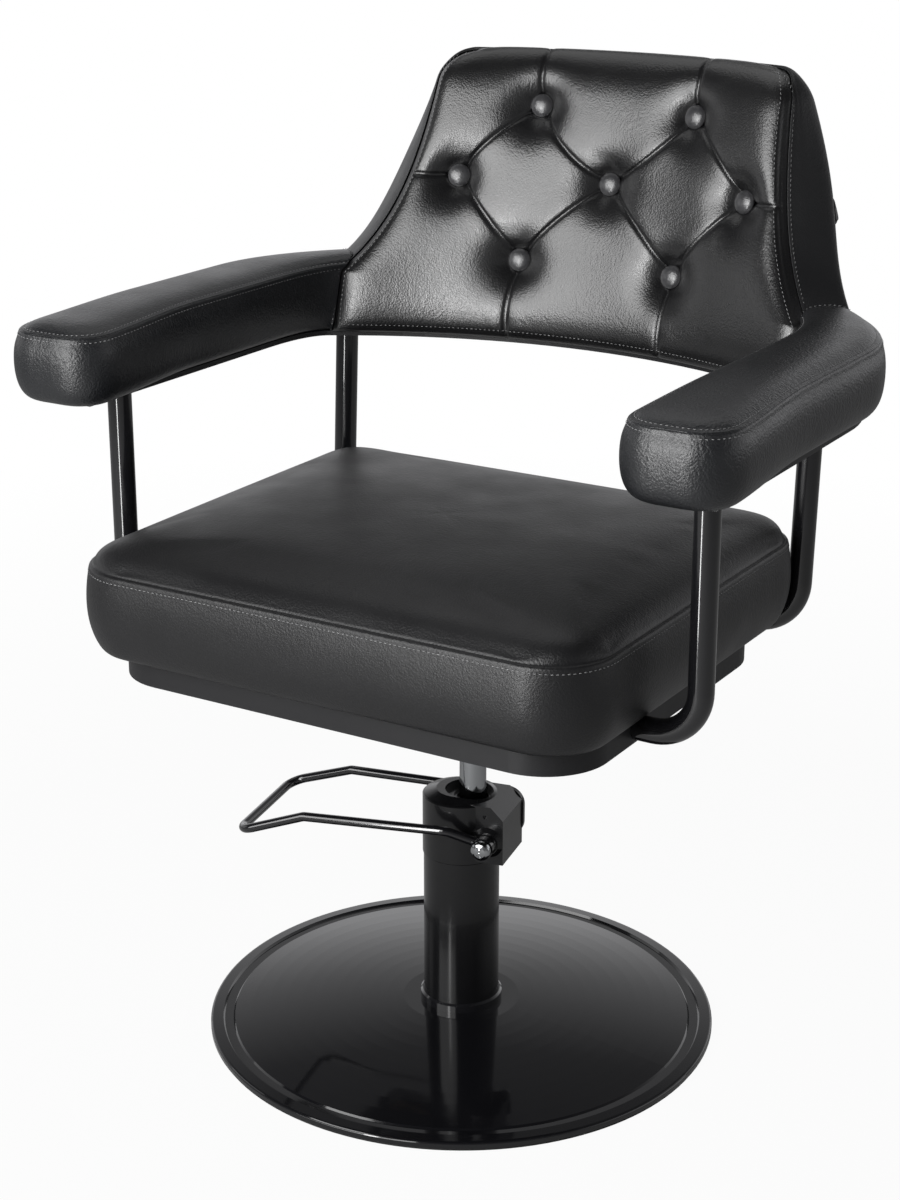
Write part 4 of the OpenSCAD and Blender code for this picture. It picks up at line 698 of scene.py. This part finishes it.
def arm_net():
    s, run = np.meshgrid(ACROSS, ALONG)
    top = arm_place(s, run, seam_z(run) - PANEL_SINK + seam_roll(to_outline(s, run)))
    low = arm_place(s, run, seam_z(run) - ARM_DEEP, UNDER_INSET)
    rim = grid_rim(len(ACROSS), len(ALONG))
    rim_s, rim_run = s.reshape(-1)[rim], run.reshape(-1)[rim]
    loops = [arm_place(rim_s, rim_run, seam_z(rim_run) - drop, -out) for out, drop in BAND]
    points = np.vstack([top.reshape(-1, 3), *loops, low.reshape(-1, 3)])
    return points, wrapped_faces(len(ACROSS), len(ALONG), len(BAND))

for side, name in ((-1, "left"), (1, "right")):
    points, faces = arm_net()
    arm = piece_from(name + "_arm_padding", points * [side, 1, 1], faces, arm_leather, subdivide=1)
    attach(arm, "seat")
    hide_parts(name + "_arm_pad")
    print(arm.name, len(arm.data.polygons), "faces")

# %% [markdown]
# ## The tufted back
# Buttons pull the padding deep into the back and the leather folds between them. The
# fold lines make diamonds and run on to the edges. Height is a sum of simple shapes:
# a crown that fades at the rim, a pit round each button, and a narrow fold on each line.
# The height is laid off square to a profile that turns under below and rolls over above.

# %% Write down the tufts
BUTTONS = np.array([(-87.5, 899), (87.5, 899), (-163, 827), (0, 827), (163, 827),
                    (-87.5, 746), (87.5, 746)], float)
PAIRS = ((0, 2), (0, 3), (1, 3), (1, 4), (2, 5), (3, 5), (3, 6), (4, 6))
FOLDS = [(BUTTONS[a], BUTTONS[b]) for a, b in PAIRS]
FOLDS += [(BUTTONS[i], np.array([BUTTONS[i][0] + (3 if i else -3), 990.0])) for i in (0, 1)]
FOLDS += [(BUTTONS[i], np.array([BUTTONS[i][0], 660.0])) for i in (5, 6)]
FOLDS += [(BUTTONS[i], np.array([math.copysign(214, BUTTONS[i][0]), 830.0])) for i in (2, 4)]
BEND = [-5.0, -5, 5, 5, 5, -5, 5, -5] + [0.0] * 6
CREST_Z, CREST_D, ROLL_Z, SEAM_D = 950.5, 12.0, 910.0, 19.0
CROWN, WIDE_PIT, NARROW_PIT = 16.5, (14.5, 27.5), (9.0, 13.0)
SOFT_FOLD, SHARP_FOLD = (0.9, 7.0), (3.3, 1.7)


def distance_to(x, z, a, b, bend=0.0):
    """Distance to a line from a to b that bows sideways by bend in its middle."""
    span = b - a
    t = np.clip(((x - a[0]) * span[0] + (z - a[1]) * span[1]) / (span @ span), 0, 1)
    bow = bend * 4 * t * (1 - t) / np.hypot(*span)
    return np.hypot(x - a[0] - t * span[0] + bow * span[1], z - a[1] - t * span[1] - bow * span[0])


def bell(d, deep, wide, power=2):
    return deep * np.exp(-(d / wide) ** power)


def tuft(x, z, top):
    """How deep the leather lies below the rim; negative stands proud."""
    to_side = back_half(np.minimum(z, BACK_TOP)) - corner_cut(np.minimum(z, BACK_TOP)) - np.abs(x)
    side_fade, low_fade = rise_to(to_side, 12.0), rise_to(z - BACK_LOW, 14.0)
    top_fade = rise_to(top - z, 22.0)
    pits = np.zeros_like(x)
    for bx, bz in BUTTONS:
        d = np.hypot(x - bx, z - bz)
        pits = pits + bell(d, *WIDE_PIT) + bell(d, *NARROW_PIT)
    folds = np.zeros_like(x)
    for (a, b), bend in zip(FOLDS, BEND):
        d = distance_to(x, z, a, b, bend)
        folds = np.maximum(folds, bell(d, *SOFT_FOLD) + bell(d, *SHARP_FOLD, 1.5))
    fold_fade = np.clip(1.6 * side_fade, 0, 1) * np.clip(1.6 * low_fade, 0, 1)
    padding = side_fade * low_fade * top_fade * (pits - CROWN)
    return padding + folds * fold_fade * (0.55 + 0.45 * top_fade)

print("folds:", len(FOLDS))

# %% Write down the pad's section
SIDE_SEAM, TOP_FALL, TOP_RUN, LOW_ROUND, TOP_ROUND = 4.6, 4.7, 14, 6, 18


def seam_behind(z):
    """Depth of the seam beside the tufts: it falls back where the front rolls over the top."""
    over = np.clip((z - ROLL_Z) / (CREST_Z - ROLL_Z), 0, 1)
    top_fall = TOP_FALL * smooth_step((z - BACK_TOP + TOP_RUN) / TOP_RUN)
    return SIDE_SEAM + CREST_D * (1 - np.sqrt(1 - over ** 2)) + top_fall


def pad_profile():
    """Rows of the front, from below to the seam on top: depth, height and outward direction,
    and the length along them."""
    low = np.radians(np.linspace(0, 90, 6))
    rows = [(LOW_ROUND * (1 - np.sin(a)), BACK_LOW + LOW_ROUND * (1 - np.cos(a)),
             -np.sin(a), -np.cos(a)) for a in low]
    rows += [(0.0, z, -1.0, 0.0) for z in np.linspace(BACK_LOW + 7.5, ROLL_Z - 1.6, 146)]
    crest_rise = CREST_Z - ROLL_Z
    for a in np.radians(np.linspace(0, 90, 26)):
        n = np.array([-np.cos(a) / CREST_D, np.sin(a) / crest_rise])
        n /= np.linalg.norm(n)
        rows.append((CREST_D * (1 - np.cos(a)), ROLL_Z + crest_rise * np.sin(a), n[0], n[1]))
    for d in (1.5, 3, 4.5, 6, SEAM_D - CREST_D):
        up = math.sqrt(TOP_ROUND ** 2 - d ** 2)
        rows.append((CREST_D + d, CREST_Z - TOP_ROUND + up, d / TOP_ROUND, up / TOP_ROUND))
    rows = np.array(rows)
    length = np.concatenate([[0], np.cumsum(np.hypot(*np.diff(rows[:, :2], axis=0).T))])
    return rows, BACK_LOW + length - length[5] + LOW_ROUND

profile, along_profile = pad_profile()
print("rows:", len(profile), "over", round(float(along_profile[-1] - BACK_LOW)), "mm")

# %% Shape the tufted pad
EDGE_GAP, ROLL_WIDE, ROLL_DEEP, FALL_WIDE, FALL_GAP = 0.4, 4.5, 4.0, 14, 0.6
DEEPEST, PAD_REAR, REAR_GAP = 20.5, 21.6, 0.6
edge_steps = np.array([0, 0.3, 0.8, 1.5, 2.4, 3.4, 4.6])
half_columns = np.concatenate([edge_steps, np.linspace(6.5, 250, 116)]) / 250
SHARES = np.concatenate([-(1 - half_columns[:-1]), [0], (1 - half_columns[:-1])[::-1]])
u = np.broadcast_to(SHARES, (len(profile), len(SHARES)))
base_d, base_z, out_d, out_z = (profile[:, i, None] for i in range(4))
half = back_half(base_z) - corner_cut(base_z) - EDGE_GAP
x = u * half
hollow = tuft(x, np.broadcast_to(along_profile[:, None], x.shape), along_profile[-1])

# Towards its sides the pad rolls back, and at the top corners it falls to the seam
ahead, to_side = np.clip(-out_d, 0, 1), half - np.abs(x)
side_roll = np.clip(1 - to_side / ROLL_WIDE, 0, 1) ** 2 * ROLL_DEEP
seam_front = seam_behind(np.minimum(base_z, BACK_TOP)) - FALL_GAP
corner_fall = np.maximum(0, seam_front - base_d - ROLL_DEEP * ahead)
depth = base_d - out_d * hollow + side_roll * ahead
depth = np.minimum(depth + corner_fall * np.clip(1 - to_side / FALL_WIDE, 0, 1) ** 2, DEEPEST)
z = base_z - out_z * hollow - 0.2 * side_roll * np.clip(out_z, 0, 1)
x = x + np.sign(x) * np.abs(u) * side_slant(base_z, np.maximum(depth, 0))
front = back_place(x, z, depth)
flat_z = np.minimum(base_z, BACK_TOP - 4)
rear = back_place(u * (back_edge(flat_z, PAD_REAR) - REAR_GAP), flat_z, np.full_like(x, PAD_REAR))
columns, rows = len(SHARES), len(profile)
rim = grid_rim(columns, rows)
count = columns * rows
faces = grid_faces(columns, rows) + grid_faces(columns, rows, count, True)
faces += walls(0, count, rim, rim)
points = np.vstack([front.reshape(-1, 3), rear.reshape(-1, 3)])
pad = piece_from("tufted_padding", points, faces, tuft_leather)
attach(pad, "seat")
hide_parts("back_pad")
print("tufted padding:", len(pad.data.polygons), "faces, deepest fold",
      round(float(hollow.max()), 1), "mm")

# %% [markdown]
# ### The shell behind the tufts
# One strip of leather runs round the sides and over the top, and a panel closes the
# rear. It starts in the seam beside the tufts with a narrow welt, turns the rear edges
# in a soft roll, and carries on inside as a lining, so it is a closed piece.

# %% Shape the shell
CORNER_RUN, PANEL_Z, PANEL_REACH, PANEL_SWELL, SKIN = 32, 805, 140, 2.0, 0.4
SHELL_SHARES = np.concatenate([[-1, -0.985, -0.96], np.linspace(-0.92, 0.92, 41), [0.96, 0.985, 1]])


def corner_heights(low, high, count):
    """Heights that crowd together towards the top of the round corner."""
    return BACK_TOP - CORNER_RUN * (1 - np.sin(np.radians(np.linspace(low, high, count))))

SHELL_Z = np.concatenate([BACK_LOW + np.array([0, 3, 7]),
                          np.linspace(BACK_LOW + 14, BACK_TOP - 38, 40), corner_heights(2, 90, 12)])


def shell_grid(inset, depth):
    u, z = np.meshgrid(SHELL_SHARES, SHELL_Z)
    z = BACK_LOW + inset + (z - BACK_LOW) * (1 - 2 * inset / (BACK_TOP - BACK_LOW))
    d = depth(u, z)
    return back_place(u * (back_edge(np.minimum(z + inset, BACK_TOP), d) - inset), z, d)


def shell_depth(u, z):
    upright = (z - PANEL_Z) / PANEL_REACH
    middle = np.clip(1 - u ** 4, 0, 1) * np.clip(1 - upright ** 4, 0, 1)
    return back_depth(z) - SKIN + PANEL_SWELL * middle

columns, rows = len(SHELL_SHARES), len(SHELL_Z)
rim = grid_rim(columns, rows)
rear = shell_grid(8.0, shell_depth).reshape(-1, 3)
inner = shell_grid(15.0, lambda u, z: np.minimum(36.0, back_depth(z) - 6)).reshape(-1, 3)
shell_u, shell_z = (g.reshape(-1)[rim] for g in np.meshgrid(SHELL_SHARES, SHELL_Z))
seam_depth = seam_behind(shell_z)
top_edge, low_edge = (shell_z >= BACK_TOP - 1e-6), (shell_z <= BACK_LOW + 1e-6)
thick = back_depth(shell_z) - SKIN
rear_roll = np.minimum(13.0, 0.8 * (thick - seam_depth))
flat_side = thick - seam_depth - rear_roll
fine = np.minimum(1, flat_side / 24)
near_top = smooth_step((shell_z - BACK_TOP + TOP_RUN) / TOP_RUN) * np.where(top_edge, 1.0, 0.8)
puff = 2.4 * smooth_step((shell_z - 745) / 60)


def shell_ring(out_by, depth):
    """Ring round the shell, out_by beyond the outline, at a depth behind the front seam."""
    u, z, d = shell_u, shell_z, depth + 0 * shell_z
    rise = near_top * np.where(out_by > 0, out_by, 0.6 * out_by)
    zz = z + rise - np.where(low_edge, 0.4 * out_by, 0)
    return back_place(u * (back_edge(z, d) + out_by * (np.abs(u) >= 1)), zz, d)

# The rear edge, the flat side, the welt beside the seam, and the turn to the inside
rings = [shell_ring(out + puff, seam_depth + flat_side + share * rear_roll)
         for out, share in ((-3.4, 0.93), (-1.0, 0.75), (0.3, 0.42), (0.9, 0.0))]
rings += [shell_ring(out + 0.7 * puff, seam_depth + share * flat_side)
          for out, share in ((1.2, 0.75), (1.3, 0.48))]
WELT = ((1.3, 9.5), (0.8, 6.6), (0.5, 5.0), (1.0, 3.8), (1.8, 2.7), (1.7, 1.6), (0.2, 0.6))
rings += [shell_ring(out, seam_depth + run * fine) for out, run in WELT]
rings += [shell_ring(0.0, np.maximum(seam_depth + 2, 22.0)), shell_ring(-9.0, 23.0)]
points = np.vstack([rear, *rings, inner])
faces = wrapped_faces(columns, rows, len(rings), True)
shell = piece_from("back_shell_leather", points, faces, shell_leather, subdivide=1)
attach(shell, "seat")
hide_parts("back_cover")
print("shell:", len(shell.data.polygons), "faces")

# %% [markdown]
# ### The pull behind the back
# A stuffed lip crosses the rear, thick at its lower edge so that fingers can hold it.
# Its section is the same all the way, so one section is carried along the curve.

# %% Shape the rear pull
# Height and depth of its section, which shrinks towards PULL_Z at the two ends
PULL_Z, PULL_LIFT = 823, 1.6
section = [(840.6, 0.4), (841, 1.6), (834, 4.6), (824, 8.0), (815, 10.9), (810, 12.2),
           (807.6, 11.9), (806.2, 10.2), (806, 7.0), (806.2, 3.0), (806.8, 0.4)]
ends = np.array([0.96, 0.972, 0.98, 0.982])
rows = []
for share in np.concatenate([-ends[::-1], np.linspace(-0.93, 0.93, 50), ends]):
    swell = min(1.0, max(0.55, ((0.985 - abs(share)) / 0.03) ** 0.5)) if abs(share) > 0.955 else 1.0
    zs = np.array([PULL_Z + (p[0] - PULL_Z) * swell for p in section])
    under = back_depth(zs) + PULL_LIFT
    depth = under + np.array([p[1] for p in section]) * swell
    rows.append(back_place(share * back_edge(zs, under), zs, depth))
points = np.vstack(rows + [rows[0].mean(0), rows[-1].mean(0)])
faces = stack_faces(len(rows), len(section)) + end_fans(len(rows), len(section))
pull = piece_from("rear_pull_padding", points, faces, shell_leather, subdivide=1)
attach(pull, "seat")
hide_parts("rear_grip")
print("pull:", len(pull.data.polygons), "faces")

# %% [markdown]
# ## Repeats with Geometry Nodes
# Buttons and stitches repeat, so each is made once and set out by a node tree. The tree
# turns every copy by a direction that is stored on its point, makes the copies real, and
# gives them their material. The result is kept as a plain mesh.

# %% A helper that reads a tree into a mesh
def run_tree(name, points, edges, tree, values, facing=None, body="seat"):
    """Hands points and edges in metres to a tree, with the direction of each point."""
    mesh = bpy.data.meshes.new(name)
    mesh.from_pydata([tuple(p) for p in points], edges, [])
    if facing is not None:
        layer = mesh.attributes.new("facing", "FLOAT_VECTOR", "POINT")
        layer.data.foreach_set("vector", np.asarray(facing, np.float32).ravel())
    piece = bpy.data.objects.new(name, mesh)
    bpy.context.scene.collection.objects.link(piece)
    modifier = piece.modifiers.new("set_out", "NODES")
    modifier.node_group = tree
    for item in tree.interface.items_tree:
        if getattr(item, "in_out", "") == "INPUT" and item.name in values:
            modifier[item.identifier] = values[item.name]
    settle(piece)
    piece.data.polygons.foreach_set("use_smooth", [True] * len(piece.data.polygons))
    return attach(piece, body)


def new_tree(name, sizes):
    """A tree with a geometry in and out, and a named socket for each size."""
    tree = bpy.data.node_groups.new(name, "GeometryNodeTree")
    tree.interface.new_socket("Geometry", in_out="INPUT", socket_type="NodeSocketGeometry")
    for label, value in sizes.items():
        socket = tree.interface.new_socket(label, in_out="INPUT", socket_type="NodeSocketFloat")
        socket.default_value = value
    tree.interface.new_socket("Geometry", in_out="OUTPUT", socket_type="NodeSocketGeometry")
    return tree, tree.nodes.new("NodeGroupInput"), tree.nodes.new("NodeGroupOutput")


def finish_tree(tree, geometry, end, paint):
    real = add_node(tree, "GeometryNodeRealizeInstances", [(geometry, 0)])
    coat = add_node(tree, "GeometryNodeSetMaterial", [(real.outputs[0], "Geometry")],
                    Material=paint)
    link(tree, coat.outputs[0], end.inputs[0])


def stand_up(tree):
    """Turn that puts a copy's Z along the direction stored on its point."""
    facing = tree.nodes.new("GeometryNodeInputNamedAttribute")
    facing.data_type = "FLOAT_VECTOR"
    facing.inputs["Name"].default_value = "facing"
    aim = add_node(tree, "FunctionNodeAlignRotationToVector",
                   [(facing.outputs["Attribute"], "Vector")])
    aim.axis = "Z"
    return aim.outputs["Rotation"]


def copy_to(tree, spots, model, turned):
    source = add_node(tree, "GeometryNodeObjectInfo", Object=model)
    return add_node(tree, "GeometryNodeInstanceOnPoints", [
        (spots, "Points"), (source.outputs["Geometry"], "Instance"), (turned, "Rotation")])

# %% Set out the buttons
BUTTON_R, BUTTON_RIM, BUTTON_RISE, BUTTON_DEPTH, BUTTON_PARTS = 12.0, 1.4, 6.0, 2.6, 40


def dome_profile():
    """Radius and height of a covered button, from its crown to its underside."""
    top = [(BUTTON_R * math.sin(a), BUTTON_RIM + BUTTON_RISE * math.cos(a))
           for a in np.radians(np.linspace(0, 90, 12))]
    return top + [(11.9, 0.7), (11.2, 0.1), (9.0, -0.2), (0.0, -0.3)]

turns = [2 * math.pi * k / BUTTON_PARTS for k in range(BUTTON_PARTS)]
points = [(radius * math.cos(a) * MM, radius * math.sin(a) * MM, height * MM)
          for radius, height in dome_profile() for a in turns]
faces = stack_faces(len(dome_profile()), BUTTON_PARTS)
button_model = closed_object("one_button", points, faces, 1e-7)
tree, start, end = new_tree("button_rows", {"Size": 1.0})
spots = add_node(tree, "GeometryNodeMeshToPoints", [(start.outputs["Geometry"], "Mesh")])
copies = copy_to(tree, spots.outputs["Points"], button_model, stand_up(tree))
link(tree, start.outputs["Size"], copies.inputs["Scale"])
finish_tree(tree, copies.outputs["Instances"], end, button_leather)
bx, bz = BUTTONS[:, 0], BUTTONS[:, 1]
facing_out = np.column_stack([-bx / np.sqrt(BACK_R ** 2 - bx ** 2), 0 * bx - 1, 0 * bx + LEAN])
facing_out /= np.linalg.norm(facing_out, axis=1, keepdims=True)
spots_at = (back_place(bx, bz, BUTTON_DEPTH) + ROD) * MM
buttons = run_tree("tuft_buttons", spots_at, [], tree, {"Size": 1.0}, facing_out)
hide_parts("back_buttons")
print("buttons:", len(buttons.data.polygons), "faces")

# %% [markdown]
# ## Stitches
# The seams are top-stitched: a row of short thread ends runs on each side. One stitch
# is a slim bead with a few dozen faces. The tree spaces beads evenly along each path,
# stands them on the leather by the direction stored on the path, and turns them along it.

# %% Model one stitch and its tree
# The thread itself is dark grey. Its colour is raised to a light grey, and that extra lightness is
# a painted highlight that makes the stitches catch the light.
thread_and_painted_highlight = matt_finish("grey_thread", (0.19, 0.19, 0.192), 0.45, 900.0, 0.2)


def stitch_mesh(length=2.7, width=0.8, height=0.7, sides=6):
    places = [(-0.5, 0.0), (-0.46, 0.55), (-0.3, 0.95), (0.0, 1.0),
              (0.3, 0.95), (0.46, 0.55), (0.5, 0.0)]
    turns = [2 * math.pi * k / sides for k in range(sides)]
    points = [(run * length * MM, r * width / 2 * math.cos(a) * MM,
               r * height / 2 * math.sin(a) * MM) for run, r in places for a in turns]
    return closed_object("one_stitch", points, stack_faces(len(places), sides), 1e-7)

STITCH_PITCH = 0.0048
tree, start, end = new_tree("stitch_rows", {"Pitch": STITCH_PITCH})
curve = add_node(tree, "GeometryNodeMeshToCurve", [(start.outputs["Geometry"], "Mesh")])
spaced = tree.nodes.new("GeometryNodeResampleCurve")
spaced.mode = "LENGTH"
link(tree, curve.outputs["Curve"], spaced.inputs["Curve"])
link(tree, start.outputs["Pitch"], spaced.inputs["Length"])
forward = tree.nodes.new("GeometryNodeInputTangent")
aim = add_node(tree, "FunctionNodeAlignRotationToVector", [(stand_up(tree), "Rotation"),
                                                           (forward.outputs[0], "Vector")])
aim.axis, aim.pivot_axis = "X", "Z"
copies = copy_to(tree, spaced.outputs["Curve"], stitch_mesh(), aim.outputs["Rotation"])
finish_tree(tree, copies.outputs["Instances"], end, thread_and_painted_highlight)

# %% Lay the stitch paths
stitch_paths = []


def add_path(points, ahead):
    """Keeps a path in the seat's millimetres with its outward directions."""
    ahead = np.broadcast_to(np.asarray(ahead, float), np.shape(points))
    ahead = ahead / np.linalg.norm(ahead, axis=1, keepdims=True)
    stitch_paths.append((np.asarray(points, float), ahead))


def arm_path(inset, drop, outward_z):
    rim_s = np.concatenate([np.zeros(len(ALONG)), ACROSS[1:-1], np.ones(len(ALONG))])
    rim_run = np.concatenate([ALONG[::-1], np.full(len(ACROSS) - 2, -1.0), ALONG])
    points = arm_place(rim_s, rim_run, seam_z(rim_run) - drop, inset)
    outer = arm_place(rim_s, rim_run, seam_z(rim_run) - drop, inset - 1.0)
    ahead = outer - points
    ahead[:, 2] += outward_z
    return points[2:-2], ahead[2:-2]

# The arms: one row on the top panel and one on the band
for side in (-1, 1):
    for inset, drop, outward_z in ((4.6, -1.1, 3.0), (-1.75, 5.2, 0.1)):
        points, ahead = arm_path(inset, drop, outward_z)
        add_path(points * [side, 1, 1], ahead * [side, 1, 1])

# The cushion: one row below its seam
ROW_OUT, ROW_Z = 2.75, 521.6
seat_ring = np.vstack([outline, outline[:1]])
seat_out = np.vstack([outward, outward[:1]])
add_path(at_height(seat_ring + seat_out * ROW_OUT, ROW_Z) + seat_middle, at_height(seat_out, 0.25))

# The back: one row on the pad and one on the shell, round the sides and along the bottom
pad_grid = front.reshape(len(profile), len(SHARES), 3)
roll_row = int(np.argmin(np.abs(profile[:, 1] - 948)))
for side in (-1, 1):
    column = 7 if side < 0 else -8
    add_path(pad_grid[8:roll_row, column], (-0.35 * side, -1.0, LEAN))
    rows_z = np.concatenate([np.linspace(748, BACK_TOP - 34, 50), corner_heights(3, 60, 9)])
    depth = SIDE_SEAM + 5.0 * np.minimum(1, (back_depth(rows_z) - 18) / 24)
    edge = back_edge(rows_z, depth) + 0.75
    add_path(back_place(side * edge, rows_z, depth), (side, 0.2, 0.0))
    joint_z = np.linspace(676, 729, 12)
    joint = arm_place(0.0, 0.955, joint_z, -1.0)
    beside = arm_place(0.0, 0.90, joint_z, -1.0) - joint
    ahead = np.column_stack([beside[:, 1], -beside[:, 0], 0 * joint_z])
    ahead *= np.sign(-ahead[:, 1:2])
    add_path(joint * [side, 1, 1], ahead * [side, 1, 1])
    across_arm = np.linspace(0.06, 0.94, 20)
    roll = seam_roll(to_outline(across_arm, 0.975))
    joint = arm_place(across_arm, 0.975, ARM_SEAM + 0.4 - PANEL_SINK + roll)
    add_path(joint * [side, 1, 1], (0, 0, 1))
add_path(pad_grid[7, 9:-9], (0, -1.0, 0.1))

# %% Sew the stitches
points = (np.vstack([p for p, ahead in stitch_paths]) + ROD) * MM
facing = np.vstack([ahead for p, ahead in stitch_paths])
edges, first = [], 0
for path_points, ahead in stitch_paths:
    edges += [(first + i, first + i + 1) for i in range(len(path_points) - 1)]
    first += len(path_points)
stitches = run_tree("seam_stitches", points, edges, tree, {"Pitch": STITCH_PITCH}, facing)
print("stitches:", len(stitches.data.polygons), "faces in", len(stitch_paths), "rows")

# %% [markdown]
# ## The lever
# The foot lever is one round bar, bent into a loop. A bar of one section along a bent
# path is what Curve to Mesh does best, and the bends come from rounding the corners.

# %% Sweep the lever
PIVOT_U, PIVOT_Z, HUB_Y, LEVER_TOP, LEVER_END = 38.5, 216.0, 37.3, 234.0, -218
BAR_SIZES = {"Bend radius": 0.016, "Bar radius": 0.00475}


def lever_half(side):
    """Corners of one half, from inside its hub to the end of the loop."""
    bend = np.array([3, side * 56.0, LEVER_TOP])
    root = np.array([PIVOT_U, side * HUB_Y, PIVOT_Z]) * 0.8 + bend * 0.2
    shoulder = np.array([LEVER_END + 71, side * 63.0, LEVER_TOP - 5])
    return [root, bend, shoulder, np.array([LEVER_END, side * 68.0, LEVER_TOP - 30])]

path = np.array(lever_half(-1) + lever_half(1)[::-1])
cos_turn, sin_turn = math.cos(PUMP_TURN), math.sin(PUMP_TURN)
lever_path = np.column_stack([path[:, 0] * cos_turn - path[:, 1] * sin_turn,
                              path[:, 0] * sin_turn + path[:, 1] * cos_turn, path[:, 2]]) * MM
tree, start, end = new_tree("bent_bar", BAR_SIZES)
curve = add_node(tree, "GeometryNodeMeshToCurve", [(start.outputs["Geometry"], "Mesh")])
corners = tree.nodes.new("GeometryNodeFilletCurve")
corners.mode = "POLY"
corners.inputs["Count"].default_value = 14
corners.inputs["Limit Radius"].default_value = True
link(tree, curve.outputs["Curve"], corners.inputs["Curve"])
link(tree, start.outputs["Bend radius"], corners.inputs["Radius"])
circle = add_node(tree, "GeometryNodeCurvePrimitiveCircle",
                  [(start.outputs["Bar radius"], "Radius")], Resolution=40)
swept = add_node(tree, "GeometryNodeCurveToMesh", [
    (corners.outputs["Curve"], "Curve"), (circle.outputs["Curve"], "Profile Curve")],
    Fill_Caps=True)
finish_tree(tree, swept.outputs["Mesh"], end, finish_of_slot[slots["lever_bar"]])
edges = [(i, i + 1) for i in range(len(lever_path) - 1)]
lever = run_tree("lever_loop", lever_path, edges, tree, BAR_SIZES, body="lever")
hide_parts("lever_bar")
print("lever:", len(lever.data.polygons), "faces")
